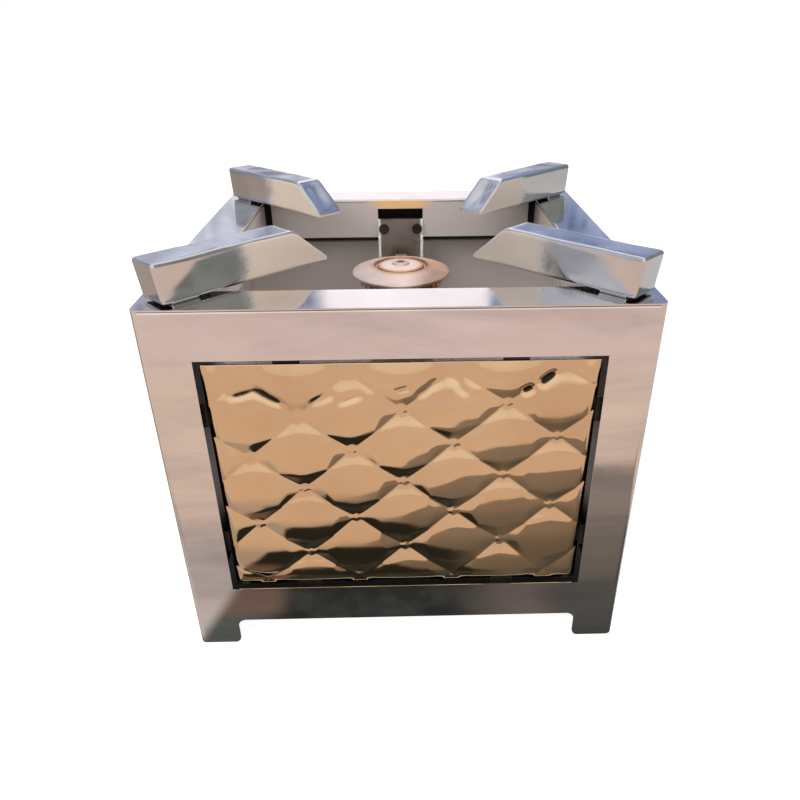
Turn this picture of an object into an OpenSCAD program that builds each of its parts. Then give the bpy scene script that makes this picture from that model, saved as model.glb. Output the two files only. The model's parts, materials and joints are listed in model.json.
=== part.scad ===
// Single burner box stove: a square polished steel casing on four short corner legs, with a
// quilted gold sheet in its front window, four folded pan supports, a burner hung in the opening
// on a strap, and a push-and-turn gas tap on the rear wall.
// Millimetres. Front faces -Y, +X is to the right, +Z is up, the floor is z = 0.

/* [Casing] */
// Width of each side of the square casing
body_w = 305; // [285:1:340]
// Height of the rim above the floor
rim_h = 258; // [240:1:290]
// Thickness of the casing sheet
sheet_t = 1; // [0.8:0.1:1.2]
// Outer radius of the upright corners
corner_r = 4.5; // [3.5:0.5:6]
// Outer radius of the folds
fold_r = 1.6; // [1.4:0.1:3]
// Depth of the flange folded in at the top of each wall
wall_flange = 12; // [9:1:14]
// Depth of the flange folded in under each wall
foot_flange = 10; // [6:1:12]

/* [Legs] */
// Height of the legs below the walls
leg_h = 22; // [15:1:30]
// Width of each leg on each of its two sides
leg_w = 30; // [24:0.5:34]
// Radius where a leg meets the wall
leg_top_r = 6; // [3:0.5:8]
// Radius of a leg's foot corner
leg_foot_r = 5; // [2:0.5:6]

/* [Front window] */
// Width of the upright members beside the window
stile_w = 30.5; // [26:0.5:36]
// Height of the member above the window
top_rail = 31.5; // [28:0.5:38]
// Height of the member below the window
bottom_rail = 29.5; // [26:0.5:36]

/* [Quilted panel] */
// Thickness of the gold sheet
panel_t = 0.8; // [0.6:0.1:1]
// Open gap between the window's edge and the sheet
panel_open = 2.8; // [2:0.1:4]
// Drop of the sheet from the middle of its window
panel_drop = 1; // [0:0.1:1.5]
// Depth of the sheet's edge behind the front face
panel_set = 3.8; // [3.8:0.1:6]
// Width of one diamond
diamond_w = 64.5; // [50:0.5:80]
// Height of one diamond
diamond_h = 52.5; // [44:0.5:70]
// Height of the row of tufts next to the middle of the panel
tuft_z = 138.5; // [110:0.5:150]
// Rise of the rows of tufts to the right, in degrees
row_tilt = 3.5; // [-5:0.5:5]
// How far the pillows stand out
pillow = 3.8; // [2:0.1:4.5]
// Depth of a tuft behind the rim of its folds
tuft_depth = 2.4; // [1:0.1:3]
// Slope of the sides of the folds that run out of a tuft, in degrees
tuft_slope = 14; // [8:1:20]
// Length of those folds along the diagonals
tuft_reach = 23; // [14:1:35]
// Band at the sheet's edge in which the pillows rise to their full height
pillow_fade = 6; // [3:0.5:10]
// Clearance between the sheet and the clips behind it
panel_gap = 0.3; // [0.2:0.05:0.5]

/* [Top rim] */
// Width of the rim
rim_w = 33; // [30:0.5:40]
// Depth of the flange hanging round the opening
rim_flange = 33; // [29:0.5:38]
// Open gap at each inner corner of the flange
rim_corner_gap = 5; // [3:0.5:7]

/* [Pan supports] */
// Width of a support
arm_w = 23.5; // [20:0.5:28]
// Height of a support above the rim
arm_h = 25.6; // [18:0.2:32]
// Open gap between a support's sides and the rim, away from its foot
arm_lift = 2; // [1:0.1:3]
// Distance of a support's outer end from the casing's corner, along the diagonal
arm_inset = 13; // [12:0.1:18]
// Length of a support's top
arm_top = 98; // [85:1:110]
// Run of the sloping nose
arm_nose = 25.5; // [16:0.5:28]
// Sheet thickness of a support
arm_t = 1.2; // [1:0.1:1.6]
// Bend radius along a support's top edges
arm_r = 2; // [1.8:0.1:4]
// Lean of a support's outer end, in towards its foot
arm_rake = 7; // [0:0.5:9]
// Radius between a support's top and its nose
nose_r = 4; // [2.5:0.5:10]
// Radius of the bolts that hold the supports and the strap
bolt_r = 2.5; // [2:0.1:3]

/* [Burner] */
// Radius of the burner cap
cap_r = 37; // [35:0.5:42]
// Drop of the cap's edge below the rim
cap_drop = 29; // [27:0.5:33]
// Thickness of the cap's edge
cap_edge = 2.4; // [1.8:0.1:3.2]
// Height of the cap's dome above its edge
cap_dome = 6.5; // [4:0.25:9]
// Height of the flame ring
ring_h = 14; // [12:0.5:16]
// Outer radius of the flame ring
ring_r = 31; // [29:0.5:33]
// Number of flame slots
slots = 28; // [20:1:32]
// Width of a flame slot
slot_w = 2; // [1.2:0.1:2.4]
// Radius of the burner cup
cup_r = 27; // [26:0.25:28]
// Wall of the burner cup
cup_t = 3; // [2.5:0.25:3.5]
// Outer radius of the mixing tube
tube_r = 11; // [10:0.25:11.5]
// Wall of the mixing tube
tube_t = 2.5; // [2:0.1:3]

/* [Strap under the burner] */
// Width of the strap
strap_w = 40; // [39.5:0.5:44]
// Thickness of the strap
strap_t = 2; // [1.5:0.1:2.5]
// Depth of the edges folded on the strap's uprights below the screws
strap_edge = 6; // [4:0.5:8]
// Drop of the strap's top below the rim
strap_drop = 17; // [16:0.5:18]
// Drop of the strap's screws below the rim
screw_drop = 25; // [24:0.5:26]
// Distance between the strap's two screws
screw_pitch = 29.5; // [26:0.5:30]

/* [Gas tap] */
// Drop of the tap's axis below the rim
tap_drop = 58; // [57:0.5:60]
// Radius of the tap's barrel
barrel_r = 10; // [9:0.25:11]
// Length of the tap's barrel
barrel_l = 25; // [24.5:0.25:25.5]
// Radius of the turning plug
plug_r = 5.95; // [5.5:0.05:6.2]
// Running clearance of the plug and the spindle
run_gap = 0.05; // [0.03:0.01:0.08]
// Radius of the spindle
spindle_r = 3; // [2.8:0.1:3.2]
// Travel of the knob when it is pushed in
push = 2.5; // [1.5:0.1:2.6]

/* [Knob] */
// Radius of the knob
knob_r = 20; // [17:0.5:21]
// Height of the knob
knob_h = 19; // [17:0.5:22]
// Thickness of the knob's grip
grip_w = 13; // [10:0.5:16]
// Radius of the plate behind the knob
bezel_r = 25; // [23:0.5:28]
// Thickness of the plate behind the knob
bezel_t = 1.2; // [1:0.1:1.6]

/* [Gas inlet] */
// Drop of the hose tail below the tap
tail_drop = 72; // [66:1:84]
// Radius of the hose tail's ridges
tail_r = 5; // [4.5:0.1:5.5]
// Length of the hose tail
tail_l = 26.5; // [24:0.5:30]
// Radius of the inlet pipe
pipe_r = 4; // [3.5:0.1:4.2]
// Bend radius of the inlet pipe
pipe_bend = 12; // [11:0.25:12]

/* [Hidden] */
$fn = 64;

half = body_w / 2;
wall_top = rim_h - sheet_t;
leg_in = half - leg_w;
// The window and the sheet behind it
win_w = body_w - 2 * stile_w;
win_lo = leg_h + bottom_rail;
win_hi = rim_h - top_rail;
win_h = win_hi - win_lo;
win_z = (win_lo + win_hi) / 2;
panel_y = -half + panel_set;
panel_half = win_w / 2 - panel_open;
panel_lo = win_lo + panel_open - panel_drop;
panel_hi = win_hi - panel_open - panel_drop;
tilt_fade = 30;
// Distance between folds that run side by side, and between tufts along a fold
fold_pitch = 1 / norm([1 / diamond_w, 1 / diamond_h]);
tuft_pitch = norm([diamond_w, diamond_h]) / 2;
// Steps of the sheet's grid, ten to a diamond
grid_w = diamond_w / 10;
grid_h = diamond_h / 10;
clip_l = 16;
clip_t = 1;
clip_foot = 8;
clip_inset = 2;
clip_reach = 6;
// Share of the window's side between its middle and a clip
clip_place = 0.28;
// Folds run this far into the sheets that they join
fold_lap = 0.5;
// The opening in the rim
open_half = half - rim_w;
bolt_gap = 0.15;
rim_slot_h = 9;
rim_slot_w = strap_w;
slot_top = rim_h - strap_drop + rim_slot_h;
// The supports, measured outward from the middle along the diagonal
arm_out = half * sqrt(2) - arm_inset;
arm_in = arm_out - arm_top;
arm_tip = arm_in - arm_nose;
arm_tip_h = arm_lift + 1.5;
arm_slope = atan2(arm_h - arm_tip_h, arm_nose);
arm_bolt_inset = 31;
arm_bolt = half * sqrt(2) - arm_bolt_inset;
arm_foot = 18;
arm_foot_lap = 1;
// The fasteners of the supports and the strap
nut_af = 8;
nut_h = 4;
head_h = 3.5;
thread_end = 1;
strap_head_r = 4.5;
strap_head_h = 2.6;
strap_bend = 5;
// The burner, from the cap down
cap_z = rim_h - cap_drop;
ring_z = cap_z - ring_h;
tap_z = rim_h - tap_drop;
shutter_t = 1.6;
strap_z = tap_z - tube_r - shutter_t - 0.6 - strap_t;
cup_z = strap_z + strap_t;
cup_in = cup_r - cup_t;
spigot = 3;
fit_gap = 0.3;
ring_in = 20;
burner_bolt_x = 14;
burner_bolt_r = 2;
burner_head_af = 7;
burner_head_h = 2.8;
cup_floor = 6;
// The gas line, along +Y from the strap's outer face
strap_y = open_half;
nose_l = 9.5;
nose_r2 = 6;
jet_l = 8;
mouth_y = strap_y - nose_l - jet_l - 1;
mouth_r = 5.5;
mouth_lip = 2;
// The air windows near the mouth and the collar that covers them
window_a = 5;
air_l = 10;
air_y = mouth_y - 11;
shutter_gap = 0.08;
shutter_lo = mouth_y - 18;
shutter_hi = mouth_y - 4;
screw_y = mouth_y - 16;
screw_r = 1.5;
screw_head_r = 2.6;
screw_head_h = 1.8;
screw_boss_r = 2.4;
screw_boss_h = 4.5;
// The jet
jet_af = 9;
jet_hex = 3.5;
jet_thread_r = 2.95;
jet_thread = 5;
jet_bore_r = 1.6;
jet_hole_r = 0.45;
// The tap, measured from the strap's outer face
port_r = 2;
locknut_t = 3.2;
ear_t = 4;
ear_thread = 3;
boss_r = 7;
tang_w = 2;
tang_h = 5.2;
tang_gap = 0.15;
tang_reach = 4.2;
plug_bore_r = 2.5;
bore_r = plug_r + run_gap;
plug_lo = 5.3;
plug_hi = barrel_l - 0.5;
pocket = 16;
pocket_r = 4.6;
collar_r = 4.3;
collar_t = 2;
collar_hi = barrel_l - 0.4;
collar_lo = collar_hi - collar_t;
tang_lo = pocket - 1;
port_s = 8.5;
bonnet_t = 3.5;
ear_x = 16;
ear_z = 7;
ear_screw_x = 12.5;
ear_screw_r = 1.45;
ear_head_r = 2.8;
ear_head_h = 2;
boss_l = 19;
stub_l = 26;
stub_r = 5;
flat_d = 1.5;
hole_r = 8;
bezel_y = half + bezel_t;
knob_y = bezel_y + push + 0.5;
shaft_end = knob_y + knob_h - 5;
skirt_h = 4.5;
skirt_bevel = 1.5;
knob_wall = 3;
knob_boss = 2.5;
mark_w = 1.6;
mark_d = 0.8;
dot_r = 0.9;
dot_h = 0.5;
dot_at = bezel_r - 2.4;
// The inlet line, which hangs below the tap
tail_z = tap_z - tail_drop;
line_y = strap_y + port_s;
elbow_y = line_y + pipe_bend;
tail_thread = 6;
tail_hex = 5.5;
tail_end = half + tail_hex + tail_l;
tail_in = 10;
tail_seat = 7;
tail_bore_r = 2.5;
tail_nut_t = 4;
ridges = 4;
ridge = tail_l / (ridges + 0.5);
ridge_land = 1.5;
pipe_t = 1.2;
seat_gap = 0.1;
flare_t = 1;
hex_af = 17;
// Half of what stands out behind the rear wall, so that the origin is under the middle of the part
frame_y = -(tail_end - half) / 2;

function arc(x, y, r, from, to, n) =
    [for (i = [0 : n]) [x + r * cos(from + (to - from) * i / n), y + r * sin(from + (to - from) * i / n)]];

module round_square(side, r) {
    square([side - 2 * r, side], center = true);
    square([side, side - 2 * r], center = true);
    for (x = [-1, 1], y = [-1, 1]) translate([x * (side / 2 - r), y * (side / 2 - r)]) circle(r);
}

// A rod along +Y from y0 to y1 at the tap's height
module rod(r, y0, y1, x = 0, z = tap_z) {
    translate([x, y0, z]) rotate([-90, 0, 0]) cylinder(r = r, h = y1 - y0);
}

// A six-sided bar along +Y
module hex_y(af, y0, y1, x = 0, z = tap_z) {
    translate([x, y0, z]) rotate([-90, 0, 0]) cylinder(r = af / sqrt(3), h = y1 - y0, $fn = 6);
}

// Section of a fold, turning from straight down to straight in, with a short lap at each end
module bend() {
    translate([fold_r, -fold_r]) intersection() {
        difference() {
            circle(fold_r);
            circle(fold_r - sheet_t);
        }
        translate([-fold_r, 0]) square(fold_r);
    }
    translate([0, -fold_r - fold_lap]) square([sheet_t, fold_lap]);
    translate([fold_r, -sheet_t]) square([fold_lap, sheet_t]);
}

// A sheet folded in at an edge: the fold lies along X, the flange goes along +Y, its face is z = 0
module fold(length, depth) {
    rotate([90, 0, 90]) linear_extrude(height = length, center = true) {
        bend();
        translate([fold_r, -sheet_t]) square([depth - fold_r, sheet_t]);
    }
}

// One quarter of the square tube, mitred at the corners
module quarter(height) {
    linear_extrude(height = height) intersection() {
        difference() {
            round_square(body_w, corner_r);
            round_square(body_w - 2 * sheet_t, corner_r - sheet_t);
        }
        polygon([[0, 0], [-body_w, -body_w], [body_w, -body_w]]);
    }
}

// The gap between two legs, seen from the front
module leg_gap() {
    difference() {
        translate([-leg_in, -1]) square([2 * leg_in, leg_h + 1]);
        for (x = [-1, 1]) translate([x * (leg_in - leg_top_r / 2), leg_h - leg_top_r / 2])
            square(leg_top_r, center = true);
    }
    for (x = [-1, 1]) translate([x * (leg_in - leg_top_r), leg_h - leg_top_r]) circle(leg_top_r);
    for (x = [-1, 1]) mirror([x < 0 ? 1 : 0, 0]) difference() {
        translate([leg_in - 1, -1]) square([leg_foot_r + 1, leg_foot_r + 1]);
        translate([leg_in + leg_foot_r, leg_foot_r]) circle(leg_foot_r);
        translate([leg_in + leg_foot_r, -1]) square([1, leg_foot_r + 1]);
    }
}

// A wall with its two legs and its top and bottom flanges, at the front
module wall(window = false) {
    difference() {
        quarter(wall_top);
        translate([0, -half + 2, 0]) rotate([90, 0, 0]) linear_extrude(height = 4) leg_gap();
        if (window) translate([0, -half, win_z]) cube([win_w, 4, win_h], center = true);
        // Between the corners the top edge gives way to its fold
        translate([0, -half, wall_top]) cube([body_w - 2 * corner_r, 4, 2 * fold_r], center = true);
    }
    intersection() {
        translate([0, -half, wall_top]) fold(body_w - 2 * corner_r, wall_flange);
        linear_extrude(height = rim_h) polygon([[0, 0], [-body_w, -body_w], [body_w, -body_w]]);
    }
    translate([-leg_in + leg_top_r, -half + sheet_t / 2, leg_h])
        cube([2 * (leg_in - leg_top_r), foot_flange - sheet_t / 2, sheet_t]);
}

module front_frame() color("silver") wall(window = true);

module left_wall() color("silver") rotate([0, 0, 270]) wall();

module right_wall() color("silver") rotate([0, 0, 90]) wall();

module rear_wall() color("silver") difference() {
    rotate([0, 0, 180]) wall();
    rod(hole_r, half - 3, half + 1);
    rod(tail_thread + bolt_gap, half - 3, half + 1, 0, tail_z);
}

module top_rim() color("gainsboro") difference() {
    union() {
        translate([0, 0, wall_top]) linear_extrude(height = sheet_t) difference() {
            round_square(body_w, corner_r);
            square(2 * (open_half + fold_r), center = true);
        }
        for (k = [0 : 3]) rotate([0, 0, 90 * k]) translate([0, open_half, rim_h])
            rim_fold(2 * (open_half - rim_corner_gap));
    }
    for (k = [0 : 3]) rotate([0, 0, 45 + 90 * k]) translate([arm_bolt, 0, wall_top - 1])
        cylinder(r = bolt_r + bolt_gap, h = sheet_t + 2);
    for (y = [-1, 1]) translate([0, y * (open_half + sheet_t / 2), 0]) {
        translate([0, 0, (slot_top + rim_h - strap_drop) / 2])
            cube([rim_slot_w, sheet_t + 2, slot_top - rim_h + strap_drop], center = true);
        for (x = [-1, 1]) translate([x * screw_pitch / 2, 0, rim_h - screw_drop]) rotate([90, 0, 0])
            cylinder(r = bolt_r + bolt_gap, h = sheet_t + 2, center = true);
    }
}

// The rim's inner fold and flange, along X, hanging from the rim at y = 0
module rim_fold(length) {
    rotate([90, 0, 90]) linear_extrude(height = length, center = true) {
        bend();
        translate([0, -rim_flange]) square([sheet_t, rim_flange - fold_r]);
    }
}

function unit(x) = max(0, min(1, x));

// Height on the sheet of a point at u across and v up the level pattern, where the rows run uphill
function quilt_z(u, v) = v + u * tan(row_tilt) * unit(min(v - panel_lo, panel_hi - v) / tilt_fade);

// Rise of the quilt there: flat facets meet in folds along the diagonals through the tufts, and the
// pillows swell between them
function quilt(u, v) =
    let (a = u / diamond_w + (v - tuft_z) / diamond_h, b = u / diamond_w - (v - tuft_z) / diamond_h)
    let (s = abs(a - round(a)), t = abs(b - round(b)), z = quilt_z(u, v))
    let (fold = fold_pitch * tan(tuft_slope) * min(s, t) + tuft_depth * tuft_pitch / tuft_reach * max(s, t))
    let (k = unit(min(panel_half - abs(u), z - panel_lo, panel_hi - z) / pillow_fade))
    k * (2 - k) * (min(tuft_depth, fold) + (pillow - tuft_depth) * sin(180 * s) * sin(180 * t));

// Grid lines on the pattern's own steps, between the sheet's two edges
function lines(lo, hi, step, phase) =
    let (first = ceil((lo - phase) / step + 0.3), last = floor((hi - phase) / step - 0.3))
    concat([lo], [for (i = [first : last]) phase + i * step], [hi]);

module quilted_panel() color("goldenrod") {
    us = lines(-panel_half, panel_half, grid_w, 0);
    vs = lines(panel_lo, panel_hi, grid_h, tuft_z);
    n = len(us);
    m = len(vs);
    front = [for (v = vs, u = us) [u, panel_y - quilt(u, v), quilt_z(u, v)]];
    back = [for (p = front) p + [0, panel_t, 0]];
    k = n * m;
    // A crease that crosses a cell runs along the cell's diagonal
    falling = [for (j = [0 : m - 2]) [for (i = [0 : n - 2])
        let (u = (us[i] + us[i + 1]) / 2 / diamond_w, v = ((vs[j] + vs[j + 1]) / 2 - tuft_z) / diamond_h)
        abs(u + v - round(u + v)) < abs(u - v - round(u - v))]];
    polyhedron(concat(front, back), concat(
        [for (j = [0 : m - 2], i = [0 : n - 2], s = [0, 1])
            let (p = j * n + i)
            falling[j][i] ? (s == 0 ? [p, p + n, p + 1] : [p + 1, p + n, p + n + 1])
                : (s == 0 ? [p, p + n + 1, p + 1] : [p, p + n, p + n + 1])],
        [for (j = [0 : m - 2], i = [0 : n - 2], s = [0, 1])
            let (p = k + j * n + i)
            falling[j][i] ? (s == 0 ? [p, p + 1, p + n] : [p + 1, p + n + 1, p + n])
                : (s == 0 ? [p, p + 1, p + n + 1] : [p, p + n + 1, p + n])],
        [for (i = [0 : n - 2]) [i, i + 1, k + i + 1, k + i]],
        [for (i = [0 : n - 2]) let (p = (m - 1) * n + i) [p + 1, p, k + p, k + p + 1]],
        [for (j = [0 : m - 2]) let (p = j * n) [p + n, p, k + p, k + p + n]],
        [for (j = [0 : m - 2]) let (p = j * n + n - 1) [p, p + n, k + p + n, k + p]]));
}

// A stepped clip, outward along +X from the window's edge: its foot is welded to the frame's back and
// its tongue carries the sheet's edge from behind
module clip() {
    tongue_y = panel_set + panel_t + panel_gap;
    tongue_x = -panel_open - clip_reach;
    translate([0, 0, -clip_l / 2]) linear_extrude(height = clip_l) {
        translate([clip_inset, sheet_t]) square([clip_foot, clip_t]);
        translate([clip_inset, sheet_t]) square([clip_t, tongue_y - sheet_t + clip_t]);
        translate([tongue_x, tongue_y]) square([clip_inset + clip_t - tongue_x, clip_t]);
    }
}

// Two clips on each side of the window
module panel_clips() color("gray") translate([0, -half, 0]) for (side = [-1, 1] * clip_place) {
    for (x = [0, 1]) mirror([x, 0, 0]) translate([win_w / 2, 0, win_z + side * win_h]) clip();
    translate([side * win_w, 0, win_hi]) rotate([0, -90, 0]) clip();
    translate([side * win_w, 0, win_lo]) rotate([0, 90, 0]) clip();
}

// Outer end of a support drawn in by d, at the height z
function arm_end_x(d, z) =
    arm_out - arm_r + (arm_r - d) / cos(arm_rake) - (arm_h - arm_r - z) * tan(arm_rake);

// A support seen from its side, drawn in by d on every face except its open bottom
module arm_side(d) {
    bottom = d > 0 ? -1 : arm_lift;
    polygon(concat(
        [[arm_tip + d / sin(arm_slope), bottom], [arm_end_x(d, bottom), bottom]],
        arc(arm_out - arm_r, arm_h - arm_r, arm_r - d, -arm_rake, 90, 6),
        arc(arm_in + nose_r * tan(arm_slope / 2), arm_h - nose_r, nose_r - d, 90, 90 + arm_slope, 8),
        [[arm_tip + d / sin(arm_slope), arm_tip_h]]));
}

// A support seen along its length
module arm_end(d) {
    w = arm_w / 2 - d;
    r = arm_r - d;
    bottom = d > 0 ? -1 : 0;
    translate([-w, bottom]) square([2 * w, arm_h - d - r - bottom]);
    translate([-w + r, bottom]) square([2 * w - 2 * r, arm_h - d - bottom]);
    for (x = [-1, 1]) translate([x * (w - r), arm_h - d - r]) circle(r);
}

module arm_solid(d) intersection() {
    rotate([90, 0, 0]) linear_extrude(height = arm_w + 2, center = true) arm_side(d);
    translate([arm_tip - 2, 0, 0]) rotate([90, 0, 90])
        linear_extrude(height = arm_out - arm_tip + 4) arm_end(d);
}

module pan_support(turn) color("lightsteelblue") rotate([0, 0, turn]) translate([0, 0, rim_h]) {
    difference() {
        arm_solid(0);
        arm_solid(arm_t);
    }
    // A foot folded in at the bottom stands on the rim and takes the bolt
    difference() {
        translate([arm_bolt - arm_foot / 2, -(arm_w - arm_t) / 2, 0])
            cube([arm_foot, arm_w - arm_t, arm_t]);
        translate([arm_bolt, 0, -1]) cylinder(r = bolt_r + bolt_gap, h = arm_t + 2);
    }
    for (y = [-1, 1]) translate([arm_bolt, y * (arm_w - arm_t) / 2, (arm_lift + arm_foot_lap) / 2])
        cube([arm_foot, arm_t, arm_lift + arm_foot_lap], center = true);
}

module pan_support_front_left() pan_support(225);

module pan_support_front_right() pan_support(315);

module pan_support_rear_left() pan_support(135);

module pan_support_rear_right() pan_support(45);

module pan_support_bolts() color("dimgray")
    for (k = [0 : 3]) rotate([0, 0, 45 + 90 * k]) translate([arm_bolt, 0, wall_top]) {
        translate([0, 0, -head_h]) cylinder(r = nut_af / sqrt(3), h = head_h, $fn = 6);
        cylinder(r = bolt_r, h = sheet_t + arm_t + nut_h + thread_end);
    }

module pan_support_nuts() color("dimgray")
    for (k = [0 : 3]) rotate([0, 0, 45 + 90 * k]) translate([arm_bolt, 0, rim_h + arm_t]) difference() {
        cylinder(r = nut_af / sqrt(3), h = nut_h, $fn = 6);
        translate([0, 0, -1]) cylinder(r = bolt_r + run_gap, h = nut_h + 2);
    }

// The strap's outline along Y, drawn in by d
module strap_outline(d) {
    a = strap_y - d;
    r = strap_bend - d;
    top = rim_h - strap_drop + (d > 0 ? 1 : 0);
    translate([-a, strap_z + strap_bend]) square([2 * a, top - strap_z - strap_bend]);
    translate([-a + r, strap_z + d]) square([2 * (a - r), strap_bend + 1]);
    for (y = [-1, 1]) translate([y * (a - r), strap_z + strap_bend]) circle(r);
}

module burner_strap() color("lightgray") difference() {
    edge_z = strap_z + strap_bend + 3;
    edge_top = rim_h - screw_drop - strap_head_r - 2;
    union() {
        rotate([90, 0, 90]) linear_extrude(height = strap_w, center = true) difference() {
            strap_outline(0);
            strap_outline(strap_t);
        }
        for (x = [-1, 1], y = [-1, 1]) translate([x * (strap_w - strap_t) / 2,
            y * (strap_y - strap_t - strap_edge / 2 + 0.5), (edge_z + edge_top) / 2])
            cube([strap_t, strap_edge + 1, edge_top - edge_z], center = true);
    }
    for (x = [-1, 1]) translate([x * screw_pitch / 2, 0, rim_h - screw_drop]) rotate([90, 0, 0])
        cylinder(r = bolt_r + bolt_gap, h = 2 * strap_y + 10, center = true);
    rod(nose_r2 + bolt_gap, strap_y - strap_t - 2, strap_y + 2);
    for (x = [-1, 1]) translate([x * burner_bolt_x, 0, strap_z - 1])
        cylinder(r = burner_bolt_r + bolt_gap, h = strap_t + 2);
}

module strap_screws() color("dimgray")
    for (x = [-1, 1], turn = [0, 180]) rotate([0, 0, turn]) {
        rod(strap_head_r, strap_y - strap_t - strap_head_h, strap_y - strap_t, x * screw_pitch / 2,
            rim_h - screw_drop);
        rod(bolt_r, strap_y - strap_t - thread_end, strap_y + sheet_t + nut_h + thread_end,
            x * screw_pitch / 2, rim_h - screw_drop);
    }

module strap_nuts() color("dimgray")
    for (x = [-1, 1], turn = [0, 180]) rotate([0, 0, turn]) difference() {
        hex_y(nut_af, strap_y + sheet_t, strap_y + sheet_t + nut_h, x * screw_pitch / 2, rim_h - screw_drop);
        rod(bolt_r + run_gap, strap_y, half, x * screw_pitch / 2, rim_h - screw_drop);
    }

module burner_body() color("darkgray") difference() {
    union() {
        translate([0, 0, cup_z]) cylinder(r = cup_r, h = ring_z - cup_z);
        rod(tube_r, cup_in - 8, mouth_y);
    }
    translate([0, 0, cup_z + cup_floor]) cylinder(r = cup_in, h = ring_z - cup_z);
    rod(tube_r - tube_t, 0, mouth_y - mouth_lip);
    rod(mouth_r, 0, mouth_y + 1);
    // Two air windows at the sides, near the mouth
    translate([0, air_y, tap_z]) cube([2 * tube_r + 4, air_l, 2 * window_a], center = true);
    for (x = [-1, 1]) translate([x * burner_bolt_x, 0, cup_z - 1])
        cylinder(r = burner_bolt_r + run_gap, h = cup_floor);
}

module burner_bolts() color("dimgray")
    for (x = [-1, 1]) translate([x * burner_bolt_x, 0, strap_z]) {
        translate([0, 0, -burner_head_h]) cylinder(r = burner_head_af / sqrt(3), h = burner_head_h, $fn = 6);
        translate([0, 0, -1]) cylinder(r = burner_bolt_r, h = strap_t + cup_floor - 0.5);
    }

module flame_ring() color("peru") difference() {
    rotate_extrude() polygon([[ring_in, ring_z - spigot], [cup_in - fit_gap, ring_z - spigot],
        [cup_in - fit_gap, ring_z], [cup_r, ring_z], [ring_r, ring_z + ring_h / 2], [ring_r, cap_z],
        [ring_in, cap_z]]);
    for (k = [0 : slots - 1]) rotate([0, 0, (k + 0.5) * 360 / slots])
        translate([ring_in - 1, -slot_w / 2, cap_z - ring_h / 2 + 1.5])
        cube([ring_r - ring_in + 2, slot_w, ring_h / 2]);
}

// The cap's upper surface at radius r
function dome(r) = cap_z + cap_edge + cap_dome * (1 - pow(r / cap_r, 2));

module burner_cap() color("tan") {
    groove = cap_r * 0.52;
    button = cap_r * 0.16;
    rotate_extrude() polygon(concat(
        [[0, cap_z - spigot], [ring_in - fit_gap, cap_z - spigot], [ring_in - fit_gap, cap_z],
            [cap_r - 1, cap_z], [cap_r, cap_z + 0.8], [cap_r, cap_z + cap_edge - 0.6]],
        [for (i = [0 : 6]) let (r = (cap_r - 0.5) + (groove + 1 - cap_r + 0.5) * i / 6) [r, dome(r)]],
        [[groove, dome(groove) - 1.6], [groove - 1.4, dome(groove) - 1.6]],
        [for (i = [0 : 4]) let (r = (groove - 2) + (button + 1 - groove + 2) * i / 4) [r, dome(r) - 1]],
        [[button, dome(button) - 0.2], [button * 0.7, dome(0) + 0.3], [0, dome(0) + 0.5]]));
}

module air_shutter() color("silver") difference() {
    union() {
        rod(tube_r + shutter_t, shutter_lo, shutter_hi);
        translate([0, screw_y, tap_z + tube_r]) cylinder(r = screw_boss_r, h = screw_boss_h);
    }
    rod(tube_r + shutter_gap, shutter_lo - 1, mouth_y);
    translate([0, air_y, tap_z]) cube([2 * tube_r + 8, air_l, 2 * window_a], center = true);
    translate([0, screw_y, tap_z]) cylinder(r = screw_r + run_gap, h = tube_r + screw_boss_h + 1);
}

module shutter_screw() color("dimgray") translate([0, screw_y, tap_z + tube_r]) {
    translate([0, 0, fit_gap]) cylinder(r = screw_r, h = screw_boss_h + screw_head_h / 2);
    translate([0, 0, screw_boss_h]) cylinder(r = screw_head_r, h = screw_head_h);
}

module injector() color("gold") difference() {
    jet_y = strap_y - nose_l;
    union() {
        hex_y(jet_af, jet_y - jet_hex, jet_y);
        rod(jet_thread_r, jet_y - 1, jet_y + jet_thread);
        translate([0, jet_y - jet_l, tap_z]) rotate([-90, 0, 0]) cylinder(r1 = 1.8, r2 = 3.4, h = jet_l - 3);
    }
    rod(jet_bore_r, jet_y - jet_hex - 0.5, jet_y + jet_thread + 1);
    rod(jet_hole_r, jet_y - jet_l - 1, jet_y);
}

module tap_locknut() color("gold") difference() {
    hex_y(hex_af, strap_y - strap_t - locknut_t, strap_y - strap_t);
    rod(nose_r2 + run_gap, strap_y - nose_l, strap_y);
}

module tap_body() color("gold") difference() {
    union() {
        rod(barrel_r, strap_y, strap_y + barrel_l);
        rod(nose_r2, strap_y - nose_l, strap_y + 1);
        translate([-ear_x, strap_y + barrel_l - ear_t, tap_z - ear_z]) cube([2 * ear_x, ear_t, 2 * ear_z]);
        translate([0, line_y, tap_z - boss_l]) cylinder(r = boss_r, h = boss_l);
        translate([0, line_y, tap_z - stub_l]) cylinder(r = stub_r, h = stub_l);
    }
    rod(bore_r, strap_y + plug_lo - fit_gap, strap_y + barrel_l + 1);
    rod(port_r, strap_y - nose_l, strap_y + plug_lo);
    rod(jet_thread_r + run_gap, strap_y - nose_l - 1, strap_y - nose_l + jet_thread + 0.5);
    translate([0, line_y, tap_z - stub_l - 1]) cylinder(r = port_r, h = stub_l + 1);
    for (x = [-1, 1])
        rod(ear_screw_r + run_gap, strap_y + barrel_l - ear_thread - 0.5, strap_y + barrel_l + 1,
            x * ear_screw_x);
}

module tap_plug() color("khaki") difference() {
    rod(plug_r, strap_y + plug_lo, strap_y + plug_hi);
    rod(plug_bore_r, strap_y + plug_lo - 1, line_y + plug_bore_r);
    // The port lies across the inlet only after a quarter of a turn
    translate([0, line_y, tap_z]) rotate([0, 90, 0]) cylinder(r = port_r, h = plug_r + 1);
    translate([0, strap_y + pocket, tap_z])
        cube([tang_w + 2 * tang_gap, 2 * tang_reach, tang_h + 4 * tang_gap], center = true);
    rod(pocket_r, strap_y + pocket, strap_y + barrel_l);
}

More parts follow.
